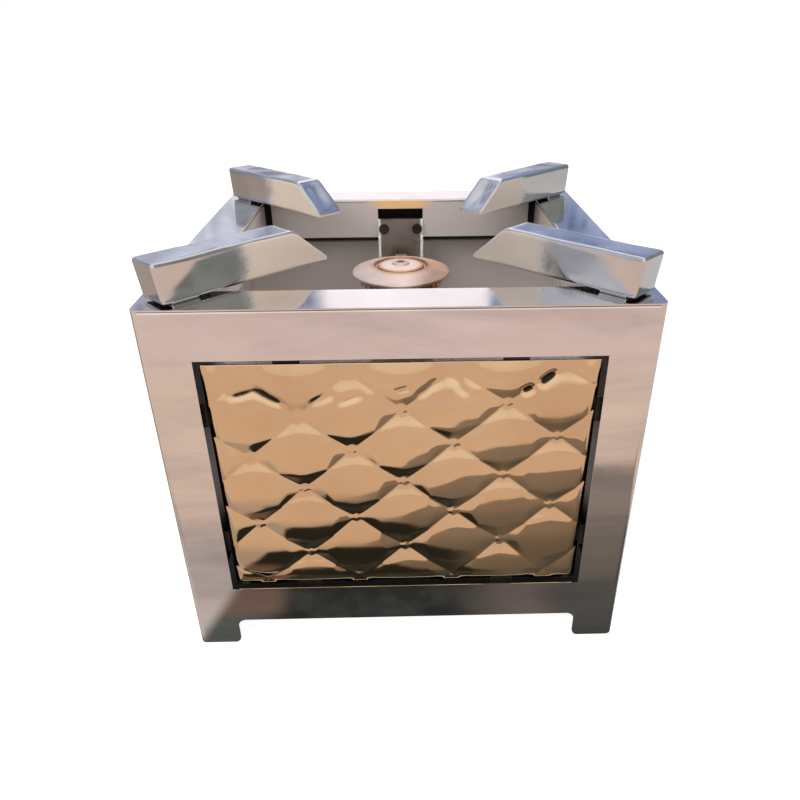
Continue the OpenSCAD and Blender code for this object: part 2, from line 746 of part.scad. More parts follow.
// A coil along +Y round the spindle's tang
module tap_spring() color("slategray") {
    turns = 4.5;
    steps = 12;
    sides = 6;
    rings = turns * steps;
    wire = 0.35;
    mid = 3.85;
    y0 = strap_y + pocket + wire + 0.1;
    y1 = strap_y + collar_lo - wire - 0.1;
    pts = [for (i = [0 : rings], s = [0 : sides - 1])
        let (t = 360 * i / steps, q = 360 * s / sides, r = mid + wire * cos(q))
        [r * cos(t), y0 + (y1 - y0) * i / rings + wire * sin(q), tap_z + r * sin(t)]];
    polyhedron(pts, concat(
        [for (i = [0 : rings - 1], s = [0 : sides - 1])
            let (p = i * sides, n = (s + 1) % sides) [p + s, p + n, p + sides + n]],
        [for (i = [0 : rings - 1], s = [0 : sides - 1])
            let (p = i * sides, n = (s + 1) % sides) [p + s, p + sides + n, p + sides + s]],
        [[for (s = [sides - 1 : -1 : 0]) s]],
        [[for (s = [0 : sides - 1]) rings * sides + s]]));
}

// The cover plate of the tap, with its screws let in because the rear wall is close behind it
module tap_bonnet() color("silver") difference() {
    translate([-ear_x, strap_y + barrel_l, tap_z - ear_z]) cube([2 * ear_x, bonnet_t, 2 * ear_z]);
    rod(spindle_r + run_gap, strap_y + barrel_l - 1, half);
    for (x = [-1, 1]) {
        rod(ear_screw_r + bolt_gap, strap_y + barrel_l - 1, half, x * ear_screw_x);
        rod(ear_head_r + bolt_gap, strap_y + barrel_l + bonnet_t - ear_head_h, half, x * ear_screw_x);
    }
}

module tap_screws() color("dimgray") for (x = [-1, 1]) {
    rod(ear_head_r, strap_y + barrel_l + bonnet_t - ear_head_h, strap_y + barrel_l + bonnet_t,
        x * ear_screw_x);
    rod(ear_screw_r, strap_y + barrel_l - ear_thread, strap_y + barrel_l + bonnet_t - ear_head_h + 1,
        x * ear_screw_x);
}

module tap_spindle() color("silver") difference() {
    union() {
        rod(spindle_r, strap_y + collar_lo, shaft_end);
        rod(collar_r, strap_y + collar_lo, strap_y + collar_hi);
        translate([-tang_w / 2, strap_y + tang_lo, tap_z - tang_h / 2])
            cube([tang_w, collar_lo - tang_lo + 1, tang_h]);
    }
    translate([-5, knob_y + 1, tap_z + flat_d]) cube([10, shaft_end, 5]);
}

module knob() color("black") difference() {
    union() {
        rod(knob_r, knob_y, knob_y + skirt_h);
        translate([0, knob_y + skirt_h, tap_z]) rotate([-90, 0, 0])
            cylinder(r1 = knob_r, r2 = knob_r - skirt_bevel, h = skirt_bevel);
        intersection() {
            translate([0, knob_y + 1, tap_z]) rotate([-90, 0, 0])
                cylinder(r1 = knob_r - 0.5, r2 = knob_r - 3, h = knob_h - 1);
            translate([-grip_w / 2, knob_y, tap_z - knob_r]) cube([grip_w, knob_h, 2 * knob_r]);
        }
    }
    // The hollow back, with the boss that takes the flatted spindle left in it
    difference() {
        rod(knob_r - knob_wall, knob_y - 1, knob_y + skirt_h - 1);
        rod(spindle_r + knob_boss, knob_y - 2, knob_y + skirt_h);
    }
    difference() {
        rod(spindle_r + run_gap, knob_y - 1, shaft_end + 0.3);
        translate([-5, knob_y + 1, tap_z + flat_d + run_gap]) cube([10, shaft_end, 5]);
    }
    translate([-mark_w / 2, knob_y + knob_h - mark_d, tap_z + 4]) cube([mark_w, 2, knob_r]);
}

module knob_bezel() color("silver") difference() {
    union() {
        rod(bezel_r, half, bezel_y);
        rod(hole_r - 0.1, half - sheet_t - 0.2, half + 0.5);
        // Raised dots mark off, full and low
        for (a = [0, 90, 135])
            rod(dot_r, half + bezel_t / 2, bezel_y + dot_h, dot_at * sin(a), tap_z + dot_at * cos(a));
    }
    rod(spindle_r + 2, half - 3, bezel_y + 1);
}

module inlet_pipe() color("goldenrod") difference() {
    union() {
        inlet_run(pipe_r, 0);
        translate([0, line_y, tap_z - stub_l - seat_gap - flare_t]) cylinder(r = stub_r - 0.2, h = flare_t);
    }
    inlet_run(pipe_r - pipe_t, 1);
}

// Down from the tap, round a bend and back to the hose tail
module inlet_run(r, more) {
    bend_z = tail_z + pipe_bend;
    translate([0, line_y, bend_z]) cylinder(r = r, h = tap_z - stub_l - seat_gap - bend_z + more);
    translate([0, elbow_y, bend_z]) rotate([-90, 0, -90]) rotate_extrude(angle = 90)
        translate([pipe_bend, 0]) circle(r);
    rod(r, elbow_y, half - tail_seat - 0.5 + more, 0, tail_z);
}

module pipe_nut() color("gold") difference() {
    nut_z = tap_z - stub_l - 5;
    flare_z = tap_z - stub_l - seat_gap - flare_t - fit_gap;
    translate([0, line_y, nut_z]) cylinder(r = hex_af / sqrt(3), h = tap_z - boss_l - 1 - nut_z, $fn = 6);
    translate([0, line_y, flare_z]) cylinder(r = stub_r + run_gap, h = tap_z - boss_l - flare_z);
    translate([0, line_y, nut_z - 1]) cylinder(r = pipe_r + run_gap, h = tap_z - boss_l - nut_z);
}

module hose_tail() color("gold") difference() {
    union() {
        rod(tail_thread, half - tail_in, half + 1, 0, tail_z);
        hex_y(hex_af, half, half + tail_hex, 0, tail_z);
        rod(tail_r - 0.8, half + tail_hex, tail_end, 0, tail_z);
        // Ridges with a short land at the crest
        for (k = [1 : ridges]) translate([0, tail_end - k * ridge, tail_z]) rotate([-90, 0, 0]) {
            cylinder(r = tail_r, h = ridge_land);
            translate([0, 0, ridge_land])
                cylinder(r1 = tail_r, r2 = tail_r - 0.9, h = ridge - ridge_land - 0.4);
        }
    }
    rod(tail_bore_r, half - tail_in - 1, tail_end + 1, 0, tail_z);
    rod(pipe_r + run_gap, half - tail_in - 1, half - tail_seat, 0, tail_z);
}

module tail_locknut() color("gold") difference() {
    hex_y(hex_af, half - sheet_t - tail_nut_t, half - sheet_t, 0, tail_z);
    rod(tail_thread + run_gap, half - tail_in, half, 0, tail_z);
}

translate([0, frame_y, 0]) front_frame();
translate([0, frame_y, 0]) left_wall();
translate([0, frame_y, 0]) right_wall();
translate([0, frame_y, 0]) rear_wall();
translate([0, frame_y, 0]) top_rim();
translate([0, frame_y, 0]) quilted_panel();
translate([0, frame_y, 0]) panel_clips();
translate([0, frame_y, 0]) pan_support_front_left();
translate([0, frame_y, 0]) pan_support_front_right();
translate([0, frame_y, 0]) pan_support_rear_left();
translate([0, frame_y, 0]) pan_support_rear_right();
translate([0, frame_y, 0]) pan_support_bolts();
translate([0, frame_y, 0]) pan_support_nuts();
translate([0, frame_y, 0]) burner_strap();
translate([0, frame_y, 0]) strap_screws();
translate([0, frame_y, 0]) strap_nuts();
translate([0, frame_y, 0]) burner_body();
translate([0, frame_y, 0]) burner_bolts();
translate([0, frame_y, 0]) flame_ring();
translate([0, frame_y, 0]) burner_cap();
translate([0, frame_y, 0]) air_shutter();
translate([0, frame_y, 0]) shutter_screw();
translate([0, frame_y, 0]) injector();
translate([0, frame_y, 0]) tap_locknut();
translate([0, frame_y, 0]) tap_body();
translate([0, frame_y, 0]) tap_plug();
translate([0, frame_y, 0]) tap_spring();
translate([0, frame_y, 0]) tap_bonnet();
translate([0, frame_y, 0]) tap_screws();
translate([0, frame_y, 0]) tap_spindle();
translate([0, frame_y, 0]) knob();
translate([0, frame_y, 0]) knob_bezel();
translate([0, frame_y, 0]) inlet_pipe();
translate([0, frame_y, 0]) pipe_nut();
translate([0, frame_y, 0]) hose_tail();
translate([0, frame_y, 0]) tail_locknut();
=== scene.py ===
"""Looks of the single burner box stove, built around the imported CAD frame.

Metres. The front faces -Y, +X is to the right, +Z is up and the floor is z = 0.
"""
import json
import math

import bpy
from mathutils import Matrix, Vector, noise


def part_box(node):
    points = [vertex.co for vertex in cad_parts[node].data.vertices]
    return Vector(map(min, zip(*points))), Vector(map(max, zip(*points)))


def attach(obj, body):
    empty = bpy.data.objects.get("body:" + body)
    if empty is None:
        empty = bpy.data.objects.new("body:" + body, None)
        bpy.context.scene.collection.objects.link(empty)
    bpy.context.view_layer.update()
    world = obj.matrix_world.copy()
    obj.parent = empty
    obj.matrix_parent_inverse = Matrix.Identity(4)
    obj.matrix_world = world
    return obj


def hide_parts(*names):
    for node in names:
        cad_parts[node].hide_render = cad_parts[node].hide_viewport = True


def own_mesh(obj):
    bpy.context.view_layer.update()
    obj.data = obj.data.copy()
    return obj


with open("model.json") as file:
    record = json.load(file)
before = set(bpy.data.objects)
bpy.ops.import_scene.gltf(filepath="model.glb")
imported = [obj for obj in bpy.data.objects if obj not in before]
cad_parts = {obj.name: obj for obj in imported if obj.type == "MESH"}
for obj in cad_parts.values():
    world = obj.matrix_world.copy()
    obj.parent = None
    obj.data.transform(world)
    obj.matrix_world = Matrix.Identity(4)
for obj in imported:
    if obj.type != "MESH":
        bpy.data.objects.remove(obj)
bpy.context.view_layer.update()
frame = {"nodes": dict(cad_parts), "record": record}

MM = 0.001
nodes = frame["nodes"]

# The casing, read from the frame
rim_lo, rim_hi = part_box("top_rim")
cap_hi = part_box("burner_cap")[1]
strap_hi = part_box("burner_strap")[1]
HALF = rim_hi.x
CENTRE_Y = rim_lo.y + HALF
FRONT_Y = rim_lo.y
RIM_Z = rim_hi.z
OPEN_HALF = strap_hi.y - CENTRE_Y
CAP_R = cap_hi.x
SHEET_T = 1 * MM
CORNER_R = 4.5 * MM
CORNER_REACH = 0.78 * CORNER_R

# Painted shade on the inside: its depth behind the front, how softly that ends, and a painted shadow below
# the rim
DARK_DEPTH = 130 * MM
DARK_FADE = 70 * MM
PAINTED_SHADE = (0.02, 0.018, 0.016)
INSIDE_DULL = 0.25
INNER_TINT = (0.86, 0.77, 0.73)
RIM_SHADOW = 46.5 * MM
RIM_SHADOW_FADE = 3 * MM

# The brushed flange that hangs round the opening, below its fold
FLANGE_FOLD = 1.6 * MM
FLANGE_TINT = (0.62, 0.55, 0.52)

# A painted orange reflection on the rear fold, above the strap
ORANGE_REFLECTION = (0.86, 0.56, 0.28)
ORANGE_HALF = 34 * MM
ORANGE_CORE = 0.4 * ORANGE_HALF
ORANGE_DROP = 9 * MM
ORANGE_FADE = 2 * MM
ORANGE_TOP_FROM = 0.2 * MM
ORANGE_TOP_TO = 0.8 * MM
FOLD_DEPTH = 3 * MM

# The strap's edges, with a painted highlight
STRAP_HIGHLIGHT = (0.90, 0.86, 0.82)
STRAP_HIGHLIGHT_FROM = 2.6 * MM
STRAP_HIGHLIGHT_TO = 1.8 * MM

# Tints over the burner cap, from its middle to its edge, with painted highlights and a painted shadow ring,
# and painted shade on its right
CAP_PAINTED_RINGS = [(0.07, (0.10, 0.07, 0.06)), (0.13, (0.95, 0.92, 0.90)), (0.38, (0.98, 0.94, 0.92)),
             (0.48, (0.42, 0.27, 0.18)), (0.56, (0.70, 0.52, 0.40)), (0.66, (0.98, 0.92, 0.88)),
             (0.86, (1.0, 1.0, 1.0))]
CAP_RIGHT_SHADE = (0.92, 0.68, 0.52)
CAP_RIGHT_SHADE_EDGE = (0.1 * CAP_R, 0.75 * CAP_R)
CAP_BAND_WANDER = 0.06

# The quilted sheet
panel_lo, panel_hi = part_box("quilted_panel")
PANEL_T = 0.8 * MM
DIAMOND_W = 64.5 * MM
DIAMOND_H = 52.5 * MM
TUFT_Z = 138.5 * MM
ROW_TILT = math.tan(math.radians(3.5))
TILT_FADE = 30 * MM
PILLOW = 3.8 * MM
PILLOW_FADE = 6 * MM
TUFT_DEPTH = 2.4 * MM
TUFT_SLOPE = math.tan(math.radians(11))
TUFT_REACH = 23 * MM
FOLD_PITCH = 1 / math.hypot(1 / DIAMOND_W, 1 / DIAMOND_H)
TUFT_PITCH = math.hypot(DIAMOND_W, DIAMOND_H) / 2
FOLD_SOFT = 0.45 * MM
TOP_FADE = 32 * MM
FOOT_FADE = 12 * MM
BUTTON = 1.3 * MM
BUTTON_R = 2.6 * MM
CRUMPLE = 0.06 * MM
CRUMPLE_SIZE = 22 * MM
QUILT_STEP = 0.7 * MM

# Dents near the sheet's upper edge, in mm: place across and up, turn in degrees, half length and depth
DENTS = [(-97, 204, 15, 8, 1.3), (-81, 202, -32, 10, 1.7), (-48, 200, 25, 8, 0.9), (-32, 200, 20, 8, 1.0),
         (0, 205, 15, 6, 1.0), (15, 206, 40, 8, 1.1), (34, 208, -52, 8, 0.9), (76, 204, 32, 4, 1.6),
         (88, 211, 38, 6, 1.8)]
DENT_W = 2.8 * MM
# The deepest dents are painted black, a painted dark reflection
DENT_PAINTED_SHADE = (0.03, 0.025, 0.02)
DENT_SHADE_FROM = 0.95 * MM
DENT_SHADE_TO = 1.2 * MM

# The pan supports
ARM_W = 23.5 * MM
ARM_NOSE = 25.5 * MM
ARM_NOSE_SOFT = 3 * MM
ARM_LIFT = 2 * MM
ARM_TIP_H = 3.5 * MM
ARM_T = 1.2 * MM
ARM_R = 2.4 * MM
ARM_STEP = 1.8 * MM
ARM_TURN_STEPS = 4
ARM_BOLT_INSET = 31 * MM
ARM_FOOT = 18 * MM
ARM_FOOT_R = 1.2 * MM
ARM_FOOT_INSET = 1 * MM
ARM_RAKE = math.tan(math.radians(7))
ARM_DENT = 0.6 * MM
ARM_DENT_SIZE = 32 * MM
ARM_DENT_FADE = 6 * MM
ARM_DENT_SEED = 1
SPOON_PLACE = 0.62 * ARM_NOSE
SPOON_LONG = 9 * MM
SPOON_WIDE = 7 * MM

# Where the supports' sides are dulled and carry a painted reflection, paler on the left and in painted shade
# on the right, as a distance from the burner's axis
ARM_PAINTED_LIGHT = (0.80, 0.66, 0.55)
ARM_PAINTED_SHADE = (0.60, 0.52, 0.45)
ARM_DULL_SIDE = (-20 * MM, 20 * MM)
ARM_DULL_RANGE = (154 * MM, 134 * MM)
ARM_DULL_SHIFT = 12 * MM
ARM_DULL_RAGGED = 40 * MM
ARM_DULL_UPRIGHT = (0.6, 0.4)
ARM_DULL_ROUGH = 0.25
ARM_DULL_SHARE = 0.75


# Short calls for node trees

class Graph:
    """A node tree with short calls that add nodes and join them."""

    def __init__(self, owner):
        owner.use_nodes = True
        self.tree = owner.node_tree
        self.tree.nodes.clear()

    def add(self, kind, settings=None, **inputs):
        made = self.tree.nodes.new("ShaderNode" + kind)
        for key, value in (settings or {}).items():
            setattr(made, key, value)
        for key, value in inputs.items():
            self.put(made.inputs[key.replace("_", " ")], value)
        return made

    def put(self, socket, value):
        if isinstance(value, bpy.types.NodeSocket):
            self.tree.links.new(value, socket)
        else:
            socket.default_value = value

    def math(self, operation, a, b=0.0):
        made = self.add("Math", {"operation": operation})
        self.put(made.inputs[0], a)
        self.put(made.inputs[1], b)
        return made.outputs[0]

    def plus(self, a, b):
        return self.math("ADD", a, b)

    def minus(self, a, b):
        return self.math("SUBTRACT", a, b)

    def times(self, a, b):
        return self.math("MULTIPLY", a, b)

    def most(self, a, b):
        return self.math("MAXIMUM", a, b)

    def size(self, a):
        return self.math("ABSOLUTE", a)

    def ramp(self, fac, stops):
        made = self.add("ValToRGB", Fac=fac)
        elements = made.color_ramp.elements
        while len(elements) < len(stops):
            elements.new(1.0)
        for element, (place, colour) in zip(elements, stops):
            element.position = place
            element.color = (*colour, 1.0)
        return made.outputs["Color"]

    def noise(self, vector, scale, detail=3.0, roughness=0.5, distortion=0.0):
        made = self.add("TexNoise", Vector=vector, Scale=scale, Detail=detail, Roughness=roughness,
                        Distortion=distortion)
        return made.outputs["Fac"]

    def stretched(self, vector, scale):
        return self.add("Mapping", Vector=vector, Scale=scale).outputs["Vector"]

    def span(self, value, lo, hi, to_lo, to_hi):
        made = self.add("MapRange", Value=value, From_Min=lo, From_Max=hi, To_Min=to_lo, To_Max=to_hi)
        return made.outputs["Result"]

    def step(self, value, lo, hi):
        """0 below lo, 1 above hi and a smooth rise between, or a fall where hi is the lower one."""
        ends = (0.0, 1.0) if lo < hi else (1.0, 0.0)
        made = self.add("MapRange", {"interpolation_type": "SMOOTHSTEP"}, Value=value, From_Min=min(lo, hi),
                        From_Max=max(lo, hi), To_Min=ends[0], To_Max=ends[1])
        return made.outputs["Result"]

    def bump(self, height, distance, normal=None):
        made = self.add("Bump", Strength=1.0, Distance=distance, Height=height)
        if normal is not None:
            self.put(made.inputs["Normal"], normal)
        return made.outputs["Normal"]

    def place(self):
        return self.add("TexCoord").outputs["Object"]

    def axes(self, vector):
        made = self.add("SeparateXYZ", Vector=vector)
        return made.outputs["X"], made.outputs["Y"], made.outputs["Z"]

    def mix(self, share, first, second, blend="MIX"):
        """A blend of two colours, each a socket or three numbers."""
        made = self.add("Mix", {"data_type": "RGBA", "blend_type": blend})
        self.put(made.inputs[0], share)
        for socket, colour in ((made.inputs[6], first), (made.inputs[7], second)):
            self.put(socket, (*colour, 1.0) if isinstance(colour, tuple) else colour)
        return made.outputs[2]

    def finish(self, shader):
        self.add("OutputMaterial", Surface=shader.outputs[0])

    def surface(self, colour, gloss, normal, metal=0.0):
        made = self.add("BsdfPrincipled", Base_Color=colour, Metallic=metal, Roughness=gloss, Normal=normal)
        self.finish(made)


def new_material(name):
    made = bpy.data.materials.new(name)
    return made, Graph(made)


# Zones of a material: masks by place on the object

def axis_distance(g, here, centre, axis):
    """Distance of a point from a line along X, Y or Z through the centre."""
    shifted = g.add("VectorMath", {"operation": "SUBTRACT"})
    g.put(shifted.inputs[0], here)
    shifted.inputs[1].default_value = centre
    flat = g.add("VectorMath", {"operation": "MULTIPLY"})
    g.put(flat.inputs[0], shifted.outputs[0])
    flat.inputs[1].default_value = [1.0 - abs(part) for part in axis]
    length = g.add("VectorMath", {"operation": "LENGTH"})
    g.put(length.inputs[0], flat.outputs[0])
    return length.outputs["Value"]


def past_painted_shade(g, y):
    """0 in the front part of the inside, which is painted in shade, 1 behind it."""
    return g.step(y, FRONT_Y + DARK_DEPTH, FRONT_Y + DARK_DEPTH + DARK_FADE)


def inside_walls(g, here):
    """Two masks: the inner faces of the walls, and the flange that hangs round the opening."""
    x, y, z = g.axes(here)
    wide = g.size(x)
    deep = g.size(g.minus(y, CENTRE_Y))
    ring = g.most(wide, deep)
    flange_face = OPEN_HALF + SHEET_T / 2
    below = g.math("LESS_THAN", z, RIM_Z - SHEET_T / 2)
    walls = g.times(g.math("LESS_THAN", ring, HALF - SHEET_T / 2), g.math("GREATER_THAN", ring, flange_face))
    # The outer faces of the round corners stay bright
    walls = g.times(walls, g.math("LESS_THAN", g.plus(wide, deep), 2 * HALF - CORNER_REACH))
    flange = g.times(g.math("LESS_THAN", ring, flange_face),
                     g.step(z, RIM_Z - FLANGE_FOLD, RIM_Z - 2 * FLANGE_FOLD))
    return g.times(walls, below), flange


def casing_zones(g, here, colour, gloss):
    """Colour, gloss and metal of the casing, with painted shade inside, a brushed flange and a painted orange
    reflection on the rear fold.
    """
    x, y, z = g.axes(here)
    hidden, flange = inside_walls(g, here)
    # The inside is painted in shade towards the front, with a painted shadow below the rim
    lit = past_painted_shade(g, y)
    shadow_z = RIM_Z - RIM_SHADOW
    inner = g.mix(g.step(z, shadow_z, shadow_z + RIM_SHADOW_FADE), INNER_TINT, PAINTED_SHADE)
    colour = g.mix(hidden, colour, g.mix(lit, PAINTED_SHADE, inner))
    colour = g.mix(flange, colour, FLANGE_TINT)
    # A painted orange reflection on the rear fold, above the strap
    orange_z = RIM_Z - ORANGE_DROP
    tint = g.times(g.step(g.size(x), ORANGE_HALF, ORANGE_CORE), g.step(z, orange_z, orange_z + ORANGE_FADE))
    tint = g.times(tint, g.step(z, RIM_Z - ORANGE_TOP_FROM, RIM_Z - ORANGE_TOP_TO))
    rear_fold = g.times(g.math("GREATER_THAN", y, CENTRE_Y),
                        g.math("LESS_THAN", y, CENTRE_Y + OPEN_HALF + FOLD_DEPTH))
    tint = g.times(tint, rear_fold)
    colour = g.mix(tint, colour, ORANGE_REFLECTION)
    gloss = g.plus(gloss, g.times(hidden, INSIDE_DULL))
    dull = g.most(g.times(hidden, lit), g.most(flange, tint))
    return colour, gloss, g.minus(1.0, dull)


def support_zones(g, here, colour, gloss):
    """Colour, gloss and metal of a support, whose sides are dulled towards the burner and carry a painted
    reflection, paler on the left and in painted shade on the right.
    """
    right = g.step(g.axes(here)[0], *ARM_DULL_SIDE)
    reach = axis_distance(g, here, (0, CENTRE_Y, 0), (0, 0, 1))
    ragged = g.times(g.minus(g.noise(here, 40.0), 0.5), ARM_DULL_RAGGED)
    reach = g.plus(g.plus(reach, ragged), g.times(right, ARM_DULL_SHIFT))
    upward = g.size(g.axes(g.add("NewGeometry").outputs["True Normal"])[2])
    dull = g.times(g.step(reach, *ARM_DULL_RANGE), g.step(upward, *ARM_DULL_UPRIGHT))
    # Painted reflection on the sides: paler on the left, painted shade on the right
    colour = g.mix(dull, colour, g.mix(right, ARM_PAINTED_LIGHT, ARM_PAINTED_SHADE))
    gloss = g.plus(gloss, g.times(dull, ARM_DULL_ROUGH))
    return colour, gloss, g.minus(1.0, g.times(dull, ARM_DULL_SHARE))


def strap_zones(g, here, colour, gloss):
    """Colour, gloss and metal of the strap, with a painted highlight along its two edges."""
    wide = g.size(g.axes(here)[0])
    wear_and_highlight = g.step(wide, strap_hi.x - STRAP_HIGHLIGHT_FROM, strap_hi.x - STRAP_HIGHLIGHT_TO)
    return g.mix(wear_and_highlight, colour, STRAP_HIGHLIGHT), gloss, g.minus(1.0, wear_and_highlight)


def dent_zones(g, here, colour, gloss):
    """Colour, gloss and metal of the gold sheet, with painted shade, black, in its deepest dents."""
    grime = g.add("Attribute", {"attribute_name": "grime"}).outputs["Fac"]
    return g.mix(grime, colour, DENT_PAINTED_SHADE), gloss, 1.0


# Materials

# Share of smudges, against streaks, in a sheet's gloss
SMUDGE_SHARE = 0.65
# Rings to the metre on turned metal, and their depth
LATHE_RINGS = 900.0
LATHE_DEPTH = 0.02 * MM
# How metallic a casting looks under its skin
CAST_METAL = 0.7
PLASTIC_GRAIN = 0.03 * MM


def sheet_metal(name, light, dark, rough, wave=0.3 * MM, wave_scale=11.0, streak=(30, 30, 500),
                streak_depth=0.004 * MM, zones=None, patch=(9, 9, 9)):
    """Polished sheet: patches of tint, smudges in the gloss, fine streaks and a slow waviness."""
    made, g = new_material(name)
    here = g.place()
    patches = g.noise(g.stretched(here, patch), 1.0, detail=4.0, roughness=0.6, distortion=0.4)
    colour = g.ramp(patches, [(0.36, dark), (0.62, light)])
    smudge = g.noise(here, 38.0, detail=5.0, roughness=0.62, distortion=0.8)
    streaks = g.noise(g.stretched(here, streak), 1.0, roughness=0.6)
    wear_and_highlight = g.plus(g.times(smudge, SMUDGE_SHARE), g.times(streaks, 1 - SMUDGE_SHARE))
    gloss = g.span(wear_and_highlight, 0.34, 0.66, *rough)
    metal = 1.0
    if zones is not None:
        colour, gloss, metal = zones(g, here, colour, gloss)
    slow = g.bump(g.noise(here, wave_scale, detail=1.0, roughness=0.4), wave)
    g.surface(colour, gloss, g.bump(streaks, streak_depth, slow), metal)
    return made


def turned_metal(name, light, dark, rough, centre, axis, painted_rings=None):
    """Lathe-turned metal: fine rings round an axis, a slow change of tint and, on the burner cap, painted
    rings of highlight and shade.
    """
    made, g = new_material(name)
    here = g.place()
    radius = axis_distance(g, here, centre, axis)
    wobble = g.noise(here, 60.0)
    rings = g.math("SINE", g.times(radius, LATHE_RINGS * 2.0 * math.pi))
    stain = g.noise(here, 24.0, detail=4.0, roughness=0.6, distortion=0.6)
    colour = g.ramp(stain, [(0.34, dark), (0.64, light)])
    if painted_rings is not None:
        # Painted highlight and shade rings over the cap, and painted shade on its right
        wander = g.span(stain, 0.0, 1.0, -CAP_BAND_WANDER, CAP_BAND_WANDER)
        spread = g.plus(g.math("DIVIDE", radius, CAP_R), wander)
        colour = g.mix(1.0, colour, g.ramp(spread, painted_rings), "MULTIPLY")
        colour = g.mix(g.step(g.axes(here)[0], *CAP_RIGHT_SHADE_EDGE), colour, CAP_RIGHT_SHADE, "MULTIPLY")
    gloss = g.span(wobble, 0.3, 0.7, *rough)
    g.surface(colour, gloss, g.bump(g.times(rings, wobble), LATHE_DEPTH), 1.0)
    return made


def cast_metal(name, light, dark, rough, grain=420.0, depth=0.12 * MM):
    """Dull metal with a fine grain and patches of tint."""
    made, g = new_material(name)
    here = g.place()
    grains = g.noise(here, grain, detail=4.0, roughness=0.6)
    stain = g.noise(here, 26.0, detail=4.0, roughness=0.6, distortion=0.5)
    colour = g.ramp(stain, [(0.35, dark), (0.66, light)])
    gloss = g.span(grains, 0.3, 0.7, *rough)
    g.surface(colour, gloss, g.bump(grains, depth), CAST_METAL)
    return made


def moulded_plastic(name, light, dark, rough):
    """Plastic with a fine grain, a little worn."""
    made, g = new_material(name)
    here = g.place()
    grain = g.noise(here, 900.0, roughness=0.6)
    wear = g.noise(here, 45.0, detail=4.0, roughness=0.6)
    colour = g.ramp(wear, [(0.38, dark), (0.68, light)])
    gloss = g.span(wear, 0.3, 0.7, *rough)
    g.surface(colour, gloss, g.bump(grain, PLASTIC_GRAIN))
    return made


steel = sheet_metal("polished_steel", (0.90, 0.88, 0.87), (0.74, 0.72, 0.72), (0.04, 0.14),
                    zones=casing_zones, patch=(9, 9, 42))
arm_steel = sheet_metal("support_steel", (0.82, 0.83, 0.85), (0.66, 0.67, 0.69), (0.07, 0.20),
                        wave=0.4 * MM, wave_scale=26.0, streak=(60, 60, 400), zones=support_zones)
mill_steel = sheet_metal("plain_steel", (0.68, 0.63, 0.59), (0.54, 0.50, 0.47), (0.24, 0.38))
strap_steel = sheet_metal("strap_steel", (0.68, 0.63, 0.59), (0.54, 0.50, 0.47), (0.24, 0.38),
                          zones=strap_zones)
sheet_back = cast_metal("sheet_back", (0.72, 0.66, 0.62), (0.60, 0.54, 0.51), (0.4, 0.55),
                        grain=60.0, depth=0.02 * MM)
gold = sheet_metal("gold_sheet", (0.87, 0.69, 0.46), (0.79, 0.60, 0.385), (0.04, 0.10), wave=0.05 * MM,
                   wave_scale=40.0, streak=(60, 60, 60), streak_depth=0.002 * MM, zones=dent_zones)
fastener = cast_metal("dark_fasteners", (0.07, 0.065, 0.06), (0.02, 0.018, 0.016), (0.35, 0.55),
                      grain=700.0, depth=0.03 * MM)
casting = cast_metal("burner_casting", (0.24, 0.22, 0.20), (0.11, 0.10, 0.095), (0.45, 0.7))
burner_brass = turned_metal("burner_brass", (0.88, 0.74, 0.65), (0.82, 0.62, 0.50), (0.30, 0.46),
                            (0, CENTRE_Y, RIM_Z), (0, 0, 1), CAP_PAINTED_RINGS)
gas_brass = turned_metal("gas_brass", (0.86, 0.66, 0.36), (0.66, 0.47, 0.22), (0.18, 0.36),
                         (0, 0, RIM_Z), (0, 1, 0))
black_plastic = moulded_plastic("knob_plastic", (0.03, 0.03, 0.032), (0.012, 0.012, 0.013), (0.25, 0.42))

FINISH = {
    "polished_steel": steel, "support_steel": arm_steel, "plain_steel": mill_steel, "gold_sheet": gold,
    "dark_fasteners": fastener, "burner_casting": casting, "burner_brass": burner_brass,
    "gas_brass": gas_brass, "knob_plastic": black_plastic,
}

for part in frame["record"]["subparts"]:
    cad = nodes[part["node"]]
    finish = FINISH[part["material_slot"]]
    if not cad.material_slots:
        cad.data.materials.append(finish)
    for slot in cad.material_slots:
        slot.material = finish
for slot in nodes["burner_strap"].material_slots:
    slot.material = strap_steel


# Mesh helpers

def new_object(name, data):
    made = bpy.data.objects.new(name, data)
    bpy.context.scene.collection.objects.link(made)
    return made


def mesh_piece(name, points, faces, finish, body, replaced):
    """A new piece on a body, with its finish and the nodes that it stands for."""
    data = bpy.data.meshes.new(name)
    data.from_pydata([tuple(p) for p in points], [], faces)
    data.validate()
    data.update()
    made = new_object(name, data)
    for face in data.polygons:
        face.use_smooth = True
    data.materials.append(finish)
    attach(made, body)
    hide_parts(*replaced)
    return made


def thicken(made, thickness):
    """Gives a sheet its thickness, behind the face that is drawn."""
    sheet = made.modifiers.new("sheet", "SOLIDIFY")
    sheet.thickness = thickness
    sheet.offset = -1.0
    return sheet


def steps(lo, hi, step):
    count = max(1, round((hi - lo) / step))
    return [lo + (hi - lo) * i / count for i in range(count + 1)]


def clamp(value, lo=0.0, hi=1.0):
    return max(lo, min(hi, value))


# The quilted sheet: the solid's form as a fine mesh, with softer folds, buttons and dents

def soft_min(a, b):
    """The lesser of two heights, rounded where they meet."""
    share = clamp(0.5 + 0.5 * (b - a) / FOLD_SOFT)
    return b + (a - b) * share - FOLD_SOFT * share * (1 - share)


def dents(u, z):
    """Depth of the dents at a place on the sheet."""
    depth = 0.0
    for across, up, turn, reach, deep in DENTS:
        x, y = u - across * MM, z - up * MM
        c, s = math.cos(math.radians(turn)), math.sin(math.radians(turn))
        along, off = (c * x + s * y) / (reach * MM), (c * y - s * x) / DENT_W
        depth += deep * MM * math.exp(-along ** 4 - off ** 2)
    return depth


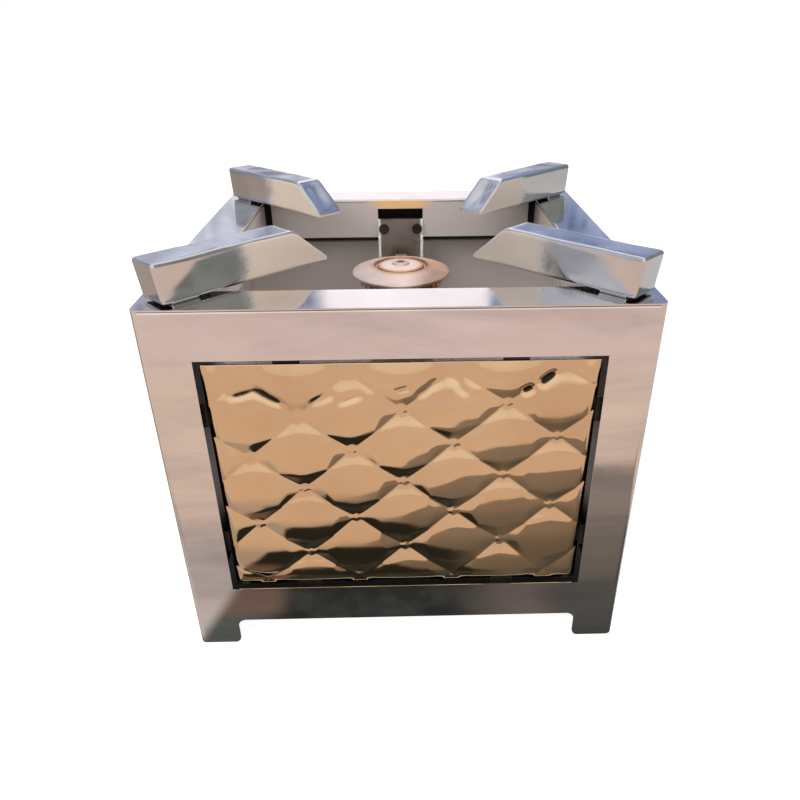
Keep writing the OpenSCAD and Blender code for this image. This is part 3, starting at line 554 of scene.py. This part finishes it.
def quilt_point(u, v):
    """Place of the sheet's front at u across and v up the level pattern."""
    base_y = panel_lo.y + PILLOW
    z = v + ROW_TILT * u * clamp(min(v - panel_lo.z, panel_hi.z - v) / TILT_FADE)
    a = u / DIAMOND_W + (v - TUFT_Z) / DIAMOND_H
    b = u / DIAMOND_W - (v - TUFT_Z) / DIAMOND_H
    s, t = abs(a - round(a)), abs(b - round(b))
    across, along = FOLD_PITCH * TUFT_SLOPE, TUFT_DEPTH * TUFT_PITCH / TUFT_REACH
    fold = soft_min(soft_min(across * s + along * t, across * t + along * s), TUFT_DEPTH)
    swell = (PILLOW - TUFT_DEPTH) * math.sin(math.pi * s) * math.sin(math.pi * t)
    off_u = u - DIAMOND_W * (round(a) + round(b)) / 2
    off_v = v - TUFT_Z - DIAMOND_H * (round(a) - round(b)) / 2
    button = BUTTON * math.exp(-(off_u ** 2 + off_v ** 2) / BUTTON_R ** 2)
    crumple = CRUMPLE * noise.noise(Vector((u, v, 0.0)) / CRUMPLE_SIZE)
    side = clamp((panel_hi.x - abs(u)) / PILLOW_FADE)
    level = clamp(min((panel_hi.z - z) / TOP_FADE, (z - panel_lo.z) / FOOT_FADE))
    button *= clamp((z - panel_lo.z - FOOT_FADE) / FOOT_FADE)
    form = level * (2 - level) * (fold + swell + button)
    rise = max(0.0, side * (2 - side) * (form + crumple)) - dents(u, z)
    return Vector((u, base_y - rise, z))


def quilt():
    """The gold sheet, with a plain back and painted shade in its deepest dents."""
    us = steps(panel_lo.x, panel_hi.x, QUILT_STEP)
    vs = steps(panel_lo.z, panel_hi.z, QUILT_STEP)
    points = [quilt_point(u, v) for v in vs for u in us]
    width = len(us)
    faces = []
    for j in range(len(vs) - 1):
        for i in range(width - 1):
            p = j * width + i
            faces.append((p, p + 1, p + width + 1, p + width))
    made = mesh_piece("gold_quilt", points, faces, gold, "casing", ["quilted_panel"])
    made.data.materials.append(sheet_back)
    # Painted shade in the deepest dents, kept on the points
    grime = made.data.attributes.new("grime", "FLOAT", "POINT")
    for held, p in zip(grime.data, points):
        held.value = clamp((dents(p.x, p.z) - DENT_SHADE_FROM) / (DENT_SHADE_TO - DENT_SHADE_FROM))
    thicken(made, PANEL_T).material_offset = 1


quilt()


# The pan supports: folded channels with soft corners, hand dents and a foot that stands on the rim

def turn_steps(r):
    """Stops through a rounded corner, from its start to just before its end."""
    return [r * i / ARM_TURN_STEPS for i in range(ARM_TURN_STEPS)]


def edge_steps(length, r, step):
    """Stops along an edge, close together where the corner turns."""
    return turn_steps(r) + steps(r, length - r, step) + [length - d for d in reversed(turn_steps(r))]


def arm_height(s, height):
    """Height of a support's top at s from its tip: the nose slopes up and turns softly into the top."""
    slope = ARM_TIP_H + (height - ARM_TIP_H) / ARM_NOSE * s
    blend = clamp(0.5 + 0.5 * (slope - height) / ARM_NOSE_SOFT)
    return slope + (height - slope) * blend - ARM_NOSE_SOFT * blend * (1 - blend)


def foot_profile():
    """The foot across the support, from one side's lower edge under the bolt to the other's."""
    half = ARM_W / 2 - ARM_FOOT_INSET
    turn = [math.radians(90 * i / ARM_TURN_STEPS) for i in range(ARM_TURN_STEPS + 1)]
    left = [(-half + ARM_FOOT_R * (1 - math.cos(t)), ARM_FOOT_R * (1 - math.sin(t))) for t in turn]
    return left + [(-y, z) for y, z in reversed(left)]


def pan_support(node, turn, shift, nose_dent):
    """A support turned to its corner; the shift gives it small dents of its own."""
    lo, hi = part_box(node)
    reach = [abs(lo.x), abs(hi.x)]
    out = max(reach) * math.sqrt(2) - ARM_W / 2
    tip = min(reach) * math.sqrt(2) + ARM_W / 2
    length = out - tip
    height = hi.z - RIM_Z
    half = ARM_W / 2
    foot_mid = HALF * math.sqrt(2) - ARM_BOLT_INSET - tip
    foot_ends = [foot_mid - ARM_FOOT / 2, foot_mid + ARM_FOOT / 2]
    along = sorted(edge_steps(length, ARM_R, ARM_STEP) + foot_ends)
    across = [w - half for w in edge_steps(ARM_W, ARM_R, ARM_STEP)]
    up = steps(ARM_LIFT, height - ARM_R, ARM_STEP) + [height - d for d in reversed(turn_steps(ARM_R))]
    last = (len(along) - 1, len(across) - 1, len(up) - 1)
    heading = Matrix.Rotation(math.radians(turn), 4, "Z")
    profile = foot_profile()
    index = {}
    points = []

    def put(key, p):
        if key not in index:
            index[key] = len(points)
            points.append(heading @ Vector((tip + p.x, p.y, RIM_Z + p.z)) + Vector((0, CENTRE_Y, 0)))
        return index[key]

    def corner(i, j, k):
        p = Vector((along[i], across[j], up[k]))
        inner = Vector((clamp(p.x, ARM_R, length - ARM_R), clamp(p.y, -half + ARM_R, half - ARM_R),
                        min(p.z, height - ARM_R)))
        turned = p - inner
        if turned.length > 0:
            p = inner + turned.normalized() * ARM_R
        free = clamp((p.z - ARM_LIFT) / ARM_DENT_FADE)
        p.z = ARM_LIFT + (p.z - ARM_LIFT) * (arm_height(p.x, height) - ARM_LIFT) / (height - ARM_LIFT)
        dent = noise.noise_vector(p / ARM_DENT_SIZE + Vector((shift, 0, 0)))
        spoon = math.exp(-((p.x - SPOON_PLACE) / SPOON_LONG) ** 2 - (p.y / SPOON_WIDE) ** 2)
        top = clamp((p.z - arm_height(p.x, height) + 2 * ARM_R) / ARM_R)
        p -= Vector((0, dent.y, abs(dent.z))) * ARM_DENT * free
        p.z -= nose_dent * spoon * top
        lean = clamp((p.x - foot_ends[1]) / (length - foot_ends[1]))
        p.x -= ARM_RAKE * (height - p.z) * lean
        return put((i, j, k), p)

    def foot(i, m):
        y, z = profile[m]
        return put(("foot", i, m), Vector((along[i], y, z)))

    faces = []
    for i in range(last[0]):
        for j in range(last[1]):
            k = last[2]
            faces.append([corner(i, j, k), corner(i + 1, j, k), corner(i + 1, j + 1, k), corner(i, j + 1, k)])
        for k in range(last[2]):
            j = last[1]
            faces.append([corner(i, 0, k), corner(i + 1, 0, k), corner(i + 1, 0, k + 1), corner(i, 0, k + 1)])
            faces.append([corner(i + 1, j, k), corner(i, j, k), corner(i, j, k + 1), corner(i + 1, j, k + 1)])
    for j in range(last[1]):
        for k in range(last[2]):
            i = last[0]
            faces.append([corner(i, j, k), corner(i, j + 1, k), corner(i, j + 1, k + 1), corner(i, j, k + 1)])
            faces.append([corner(0, j + 1, k), corner(0, j, k), corner(0, j, k + 1), corner(0, j + 1, k + 1)])
    for i in range(along.index(foot_ends[0]), along.index(foot_ends[1])):
        rail = [[corner(n, 0, 0)] + [foot(n, m) for m in range(len(profile))] + [corner(n, last[1], 0)]
                for n in (i, i + 1)]
        for m in range(len(rail[0]) - 1):
            faces.append([rail[0][m], rail[0][m + 1], rail[1][m + 1], rail[1][m]])
    made = mesh_piece(node + "_folded", points, faces, arm_steel, "casing", [node])
    thicken(made, ARM_T)


noise.seed_set(ARM_DENT_SEED)
pan_support("pan_support_front_left", turn=225, shift=1.0, nose_dent=0.8 * MM)
pan_support("pan_support_front_right", turn=315, shift=4.0, nose_dent=1.0 * MM)
pan_support("pan_support_rear_left", turn=135, shift=7.0, nose_dent=1.0 * MM)
pan_support("pan_support_rear_right", turn=45, shift=11.0, nose_dent=3.0 * MM)


# The tap's spring, which shortens as the knob is pushed

SPRING_TURNS = 4.5
SPRING_WIRE = 0.35 * MM
SPRING_STEPS = 24
SPRING_SIDES = 8


def tap_spring():
    """The spring's wire as a coil, which rides on the plug."""
    lo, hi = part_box("tap_spring")
    centre_z = (lo.z + hi.z) / 2
    coil_r = hi.x - SPRING_WIRE
    rings = round(SPRING_TURNS * SPRING_STEPS)
    start, rise = lo.y + SPRING_WIRE, hi.y - lo.y - 2 * SPRING_WIRE
    points = []
    for i in range(rings + 1):
        t = 2 * math.pi * i / SPRING_STEPS
        for s in range(SPRING_SIDES):
            q = 2 * math.pi * s / SPRING_SIDES
            r = coil_r + SPRING_WIRE * math.cos(q)
            y = start + rise * i / rings + SPRING_WIRE * math.sin(q)
            points.append((r * math.cos(t), y, centre_z + r * math.sin(t)))
    faces = [list(range(SPRING_SIDES)), [len(points) - 1 - s for s in range(SPRING_SIDES)]]
    for i in range(rings):
        p = i * SPRING_SIDES
        for s in range(SPRING_SIDES):
            n = (s + 1) % SPRING_SIDES
            faces.append([p + s, p + SPRING_SIDES + s, p + SPRING_SIDES + n, p + n])
    made = mesh_piece("tap_spring_coil", points, faces, mill_steel, "plug", ["tap_spring"])
    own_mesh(made)


tap_spring()


# The stage: floor, reflection cards, lamps and sky

def seen_rays(g):
    """1 for rays from the camera, off metal and through glass, 0 for the rest."""
    rays = g.add("LightPath").outputs
    return g.most(g.most(rays["Is Camera Ray"], rays["Is Glossy Ray"]), rays["Is Transmission Ray"])


def stage_mesh(name, points, faces, height=0.0):
    data = bpy.data.meshes.new(name)
    data.from_pydata(points, [], faces)
    made = new_object(name, data)
    made.location.z = height
    return made


def stage_plane(name, half, height):
    """A square on the ground, this far to each side of the middle."""
    corners = [(-half, -half, 0), (half, -half, 0), (half, half, 0), (-half, half, 0)]
    return stage_mesh(name, corners, [(0, 1, 2, 3)], height)


# The floor: where its painted shadow ends beside, behind and in front of the casing, from its walls
FLOOR_HALF = 6.0
FLOOR_HEIGHT = -0.4 * MM
FLOOR_SHADOW = (0.02, 0.02, 0.02)
FLOOR_GREY = (0.30, 0.30, 0.30)
FLOOR_GLOW = 0.86
FLOOR_EDGE = (5 * MM, 16 * MM)
FLOOR_FRONT = (31 * MM, 23 * MM)
FLOOR_CORNER_SIDE = (0.0, 3 * MM)
FLOOR_CORNER_DEPTH = (75 * MM, 50 * MM)


def white_floor():
    """White to the eye, with a painted shadow under the middle of the casing."""
    made = stage_plane("floor", FLOOR_HALF, FLOOR_HEIGHT)
    finish, g = new_material("floor_white")
    x, y, _ = g.axes(g.place())
    side = g.minus(g.size(x), HALF)
    rear = g.minus(g.minus(y, CENTRE_Y), HALF)
    depth = g.minus(y, FRONT_Y)
    lit = g.most(g.step(side, *FLOOR_EDGE), g.step(rear, *FLOOR_EDGE))
    lit = g.most(lit, g.times(g.step(side, *FLOOR_CORNER_SIDE), g.step(depth, *FLOOR_CORNER_DEPTH)))
    lit = g.most(lit, g.step(depth, *FLOOR_FRONT))
    matt = g.add("BsdfDiffuse", Color=g.mix(lit, FLOOR_SHADOW, FLOOR_GREY))
    white = g.add("Emission", Color=(1, 1, 1, 1), Strength=g.times(g.times(seen_rays(g), FLOOR_GLOW), lit))
    both = g.add("AddShader")
    g.put(both.inputs[0], matt.outputs[0])
    g.put(both.inputs[1], white.outputs[0])
    g.finish(both)
    made.data.materials.append(finish)


def mirrored(made, name):
    """Makes a stage piece glow for the metal alone."""
    made.visible_camera = False
    made.visible_diffuse = False
    made.visible_shadow = False
    finish, g = new_material(name)
    made.data.materials.append(finish)
    return g


def glow(g, colour):
    g.finish(g.add("Emission", Color=colour))


# Ground in the metal: each tint, and the range ahead of the front or across where it comes in
GROUND_HALF = 3.0
GROUND_HEIGHT = 0.3 * MM
SAND = ((0.64, 0.465, 0.37), (0.75, 0.57, 0.465))
FAR_SAND = ((0.63, 0.475, 0.425), (0.74, 0.575, 0.525))
FAR_START = (430 * MM, 540 * MM)
FAR_END = (760 * MM, 670 * MM)
AROUND = (0.42, 0.36, 0.33)
AROUND_END = (20 * MM, 240 * MM)
AROUND_RAGGED = 70 * MM
RIGHT_HALF = (-40 * MM, 90 * MM)
LEFT_GROUND = (0.44, 0.365, 0.34)
LEFT_GROUND_END = (95 * MM, 170 * MM)
LEFT_FOOT = (0.54, 0.45, 0.42)
LEFT_FOOT_END = (60 * MM, 25 * MM)

# A grey patch on the right, with a sharp far edge
SHADE = ((0.15, 0.122, 0.098), (0.26, 0.205, 0.175))
SHADE_CHANGE = (60 * MM, 190 * MM)
SHADE_EDGE = 140 * MM
SHADE_EDGE_RIGHT = 95 * MM
SHADE_RAGGED = 22 * MM
SHADE_SOFT = 3 * MM
SHADE_ACROSS = (-90 * MM, 20 * MM)
RAIL_SHADE = ((0.145, 0.115, 0.10), (0.088, 0.081, 0.074))
RAIL_SHADE_ACROSS = (95 * MM, 125 * MM)
RAIL_SHADE_END = (68 * MM, 52 * MM)
FOOT_SHADE = (0.065, 0.065, 0.06)
FOOT_SHADE_END = (24 * MM, 5 * MM)

# The darkest ground close to the stove, its painted shadow, cut off along a slant on the left
BLACK_EDGE = 122 * MM
BLACK_EDGE_RIGHT = 50 * MM
BLACK_RAGGED = 30 * MM
BLACK_SOFT = 8 * MM
BLACK_ACROSS = (90 * MM, 30 * MM)
SLANT = 0.30
SLANT_PLACE = 156 * MM
SLANT_EDGE = (-6 * MM, 9 * MM)
BLACK_GROUND = (0.022, 0.022, 0.019)
RAIL_BLACK = [(0.40, (0.027, 0.029, 0.026)), (0.66, (0.055, 0.053, 0.048))]
RAIL_BLACK_END = (48 * MM, 70 * MM)
LEG_GREY = (0.095, 0.10, 0.088)
LEG_GREY_ACROSS = (-90 * MM, -125 * MM)
RAIL_BROWN = (0.165, 0.105, 0.08)
RAIL_BROWN_ACROSS = (-86 * MM, -108 * MM)
RAIL_BROWN_START = (22 * MM, 34 * MM)

# Ground beside the casing and under it
LANE_ACROSS = (360 * MM, 260 * MM)
LANE_START = (-20 * MM, 0.0)
BESIDE_END = (40 * MM, -40 * MM)
BESIDE_FROM = 160 * MM
BESIDE_TO = 240 * MM
LEFT_BESIDE = (0.40, 0.32, 0.27)
RIGHT_BESIDE = (0.60, 0.57, 0.55)
UNDER = (0.52, 0.45, 0.42)
UNDER_EDGE = (-6 * MM, 2 * MM)


def shaded_ground(g, x, ahead):
    """The grey patch, darker where the bottom rail and the feet show it."""
    shade = g.mix(g.step(ahead, *SHADE_CHANGE), *SHADE)
    rail = g.mix(g.step(x, *RAIL_SHADE_ACROSS), *RAIL_SHADE)
    shade = g.mix(g.step(ahead, *RAIL_SHADE_END), shade, rail)
    return g.mix(g.step(ahead, *FOOT_SHADE_END), shade, FOOT_SHADE)


def black_ground(g, here, x, ahead):
    """The darkest ground: mottled along the bottom rail, brown and grey towards the left leg."""
    rail = g.ramp(g.noise(here, 34.0, roughness=0.6), RAIL_BLACK)
    rail = g.mix(g.step(x, *LEG_GREY_ACROSS), rail, LEG_GREY)
    brown = g.times(g.step(x, *RAIL_BROWN_ACROSS), g.step(ahead, *RAIL_BROWN_START))
    rail = g.mix(brown, rail, RAIL_BROWN)
    return g.mix(g.step(ahead, *RAIL_BLACK_END), rail, BLACK_GROUND)


def front_ground(g, here, x, ahead, ragged, sand):
    """The ground ahead of the front: sand on the left, a grey patch and the darkest ground."""
    right = g.step(x, *RIGHT_HALF)
    colour = g.mix(g.step(ahead, *LEFT_GROUND_END), LEFT_GROUND, sand)
    colour = g.mix(g.step(ahead, *LEFT_FOOT_END), colour, LEFT_FOOT)
    shade_edge = g.plus(g.times(right, SHADE_EDGE_RIGHT), SHADE_EDGE)
    into_shade = g.minus(g.plus(ahead, g.times(ragged, SHADE_RAGGED)), shade_edge)
    shade = g.times(g.step(into_shade, SHADE_SOFT, -SHADE_SOFT), g.step(x, *SHADE_ACROSS))
    colour = g.mix(shade, colour, shaded_ground(g, x, ahead))
    black_edge = g.minus(BLACK_EDGE, g.times(right, BLACK_EDGE_RIGHT))
    into_black = g.minus(g.plus(ahead, g.times(ragged, BLACK_RAGGED)), black_edge)
    slant = g.minus(g.plus(x, SLANT_PLACE), g.times(ahead, SLANT))
    black = g.times(g.step(into_black, BLACK_SOFT, -BLACK_SOFT), g.step(slant, *SLANT_EDGE))
    black = g.times(black, g.step(x, *BLACK_ACROSS))
    return g.mix(black, colour, black_ground(g, here, x, ahead))


def ground_card():
    """Warm ground in the metal: beige far off, dark close to the front and under the casing as a painted
    shadow, greyer on the right.
    """
    g = mirrored(stage_plane("ground_card", GROUND_HALF, GROUND_HEIGHT), "ground_card")
    here = g.place()
    x, y, _ = g.axes(here)
    wide = g.size(x)
    ahead = g.minus(FRONT_Y, y)
    # Distance from the casing's walls, less than 0 under it
    away = g.most(g.minus(wide, HALF), g.minus(g.size(g.minus(y, CENTRE_Y)), HALF))
    ragged = g.minus(g.noise(here, 16.0, detail=4.0, roughness=0.6), 0.5)
    grain = g.noise(here, 5.0, detail=4.0, roughness=0.6)
    far = g.times(g.step(ahead, *FAR_START), g.step(ahead, *FAR_END))
    sand = g.mix(far, g.mix(grain, *SAND), g.mix(grain, *FAR_SAND))
    # Darker ground round the casing, a painted shadow
    near = g.plus(away, g.times(ragged, AROUND_RAGGED))
    around = g.mix(g.step(near, *AROUND_END), AROUND, sand)
    beside = g.step(ahead, *BESIDE_END)
    around = g.mix(g.times(beside, g.step(x, -BESIDE_FROM, -BESIDE_TO)), around, LEFT_BESIDE)
    around = g.mix(g.times(beside, g.step(x, BESIDE_FROM, BESIDE_TO)), around, RIGHT_BESIDE)
    lane = g.times(g.step(wide, *LANE_ACROSS), g.step(ahead, *LANE_START))
    outside = g.mix(lane, around, front_ground(g, here, x, ahead, ragged, sand))
    # Under the casing the ground is painted in shade towards the front
    under = g.mix(past_painted_shade(g, y), PAINTED_SHADE, UNDER)
    glow(g, g.mix(g.step(away, *UNDER_EDGE), under, outside))


# Sky in the metal: the dark and light of its streaks and clouds, left and right
DOME_R = 2.5
DOME_RINGS = 24
DOME_TURNS = 72
LEFT_BACK = [(0.40, (0.17, 0.18, 0.26)), (0.60, (0.72, 0.74, 0.86))]
RIGHT_BACK = [(0.42, (0.11, 0.15, 0.29)), (0.66, (0.50, 0.57, 0.80))]
LEFT_LOW = [(0.38, (0.48, 0.48, 0.55)), (0.60, (0.86, 0.84, 0.92))]
RIGHT_LOW = [(0.38, (0.36, 0.36, 0.43)), (0.60, (0.70, 0.67, 0.76))]
LEFT_FAR = [(0.44, (0.24, 0.25, 0.30)), (0.58, (0.74, 0.75, 0.82))]
RIGHT_FAR = [(0.38, (0.56, 0.56, 0.58)), (0.60, (0.80, 0.80, 0.82))]
LEFT_SIDE = [(0.42, (0.14, 0.15, 0.17)), (0.58, (0.66, 0.67, 0.72))]
RIGHT_SIDE = [(0.38, (0.12, 0.13, 0.11)), (0.62, (0.34, 0.34, 0.31))]
PALE_GAP = (1.12, 1.05, 1.09)
HAZE = ((0.78, 0.64, 0.56), (0.92, 0.82, 0.76))
OVERHEAD = (0.74, 0.74, 0.78)

# Where they lie: heights up the dome, and bearings from the back in radians
LOW_EDGE = (0.31 * DOME_R, 0.26 * DOME_R)
FAR_EDGE = (0.215 * DOME_R, 0.195 * DOME_R)
HAZE_RISE = (0.0, 0.30 * DOME_R)
OVERHEAD_EDGE = (0.80 * DOME_R, 0.95 * DOME_R)
MIDDLE = (-0.05, 0.05)
GAP_LEFT = (math.radians(-9), math.radians(-7.5))
GAP_RIGHT = (math.radians(9.2), math.radians(8.4))
SIDES_EDGE = (math.radians(50), math.radians(75))
HAZE_EDGE = (math.radians(120), math.radians(150))


def dome(name):
    """A half sphere over the ground."""
    points = []
    for j in range(DOME_RINGS + 1):
        up = 0.5 * math.pi * j / DOME_RINGS
        level = DOME_R * math.cos(up)
        for i in range(DOME_TURNS):
            round_z = 2 * math.pi * i / DOME_TURNS
            points.append((level * math.sin(round_z), level * math.cos(round_z), DOME_R * math.sin(up)))
    faces = []
    for j in range(DOME_RINGS):
        ring, above = j * DOME_TURNS, (j + 1) * DOME_TURNS
        for i in range(DOME_TURNS):
            n = (i + 1) % DOME_TURNS
            faces.append((ring + i, ring + n, above + n, above + i))
    return stage_mesh(name, points, faces)


def sky_dome():
    """Surroundings in the metal: a pale gap behind, streaked sides and a warm haze in front."""
    g = mirrored(dome("sky_dome"), "sky_dome")
    here = g.place()
    x, y, z = g.axes(here)
    bearing = g.math("ARCTAN2", x, y)
    off = g.size(bearing)
    right = g.step(bearing, *MIDDLE)
    streak = g.noise(g.stretched(here, (7.0, 7.0, 1.6)), 1.0, detail=4.0, roughness=0.6, distortion=0.8)
    cloud = g.noise(here, 2.2, detail=5.0, roughness=0.6, distortion=0.5)

    def halves(pattern, left_stops, right_stops):
        return g.mix(right, g.ramp(pattern, left_stops), g.ramp(pattern, right_stops))

    low = halves(streak, LEFT_LOW, RIGHT_LOW)
    colour = g.mix(g.step(z, *LOW_EDGE), halves(streak, LEFT_BACK, RIGHT_BACK), low)
    colour = g.mix(g.step(z, *FAR_EDGE), colour, halves(streak, LEFT_FAR, RIGHT_FAR))
    gap = g.times(g.step(bearing, *GAP_LEFT), g.step(bearing, *GAP_RIGHT))
    colour = g.mix(gap, colour, PALE_GAP)
    colour = g.mix(g.step(off, *SIDES_EDGE), colour, halves(cloud, LEFT_SIDE, RIGHT_SIDE))
    colour = g.mix(g.step(off, *HAZE_EDGE), colour, g.mix(g.step(z, *HAZE_RISE), *HAZE))
    glow(g, g.mix(g.step(z, *OVERHEAD_EDGE), colour, OVERHEAD))


def lamp(name, place, aim, size, power):
    """A square lamp that faces the point it is aimed at."""
    data = bpy.data.lights.new(name, "AREA")
    data.shape = "RECTANGLE"
    data.size, data.size_y = size, size
    data.energy = power
    made = new_object(name, data)
    made.location = place
    made.rotation_euler = (Vector(aim) - Vector(place)).to_track_quat("-Z", "Y").to_euler()


# Strength of the sky for diffuse light, and for what the eye and the metal see
SKY_FILL = 0.8
SKY_SEEN = 1.0


def sky():
    """A plain white sky, a little weaker as a source of light."""
    world = bpy.data.worlds.new("studio")
    bpy.context.scene.world = world
    g = Graph(world)
    strength = g.span(seen_rays(g), 0.0, 1.0, SKY_FILL, SKY_SEEN)
    background = g.add("Background", Color=(1, 1, 1, 1), Strength=strength)
    g.add("OutputWorld", Surface=background.outputs[0])


white_floor()
ground_card()
sky()
sky_dome()
lamp("key", place=(-1.6, -1.8, 2.6), aim=(0, 0, 0.15), size=3.0, power=60)
lamp("fill", place=(2.0, -0.8, 2.2), aim=(0, 0, 0.15), size=2.6, power=30)
lamp("back", place=(0.3, 1.6, 2.2), aim=(0, -0.1, 0.15), size=2.2, power=50)


# The camera

CAMERA_PLACE = Vector((2.2, -555.0, 400.15)) * MM
CAMERA_YAW = math.radians(-1.165)
CAMERA_PITCH = math.radians(30.81)
CAMERA_ROLL = math.radians(-0.40)
CAMERA_LENS = 32.45
CAMERA_SENSOR = 36.0
CAMERA_SHIFT = (-0.02415, 0.0528)
CAMERA_CLIP = 10 * MM


def camera():
    """The view of the photograph, as fitted to the casing's corners."""
    data = bpy.data.cameras.new("camera")
    data.lens = CAMERA_LENS
    data.sensor_width = CAMERA_SENSOR
    data.shift_x, data.shift_y = CAMERA_SHIFT
    data.clip_start = CAMERA_CLIP
    made = new_object("camera", data)
    right = Vector((math.cos(CAMERA_YAW), math.sin(CAMERA_YAW), 0))
    level = Vector((-math.sin(CAMERA_YAW), math.cos(CAMERA_YAW), 0))
    upright = Vector((0, 0, 1))
    ahead = level * math.cos(CAMERA_PITCH) - upright * math.sin(CAMERA_PITCH)
    up = level * math.sin(CAMERA_PITCH) + upright * math.cos(CAMERA_PITCH)
    x_axis = right * math.cos(CAMERA_ROLL) + up * math.sin(CAMERA_ROLL)
    y_axis = up * math.cos(CAMERA_ROLL) - right * math.sin(CAMERA_ROLL)
    turned = Matrix((x_axis, y_axis, -ahead)).transposed().to_4x4()
    made.matrix_world = Matrix.Translation(CAMERA_PLACE) @ turned
    bpy.context.scene.camera = made


camera()
bpy.context.scene.view_settings.view_transform = "Standard"
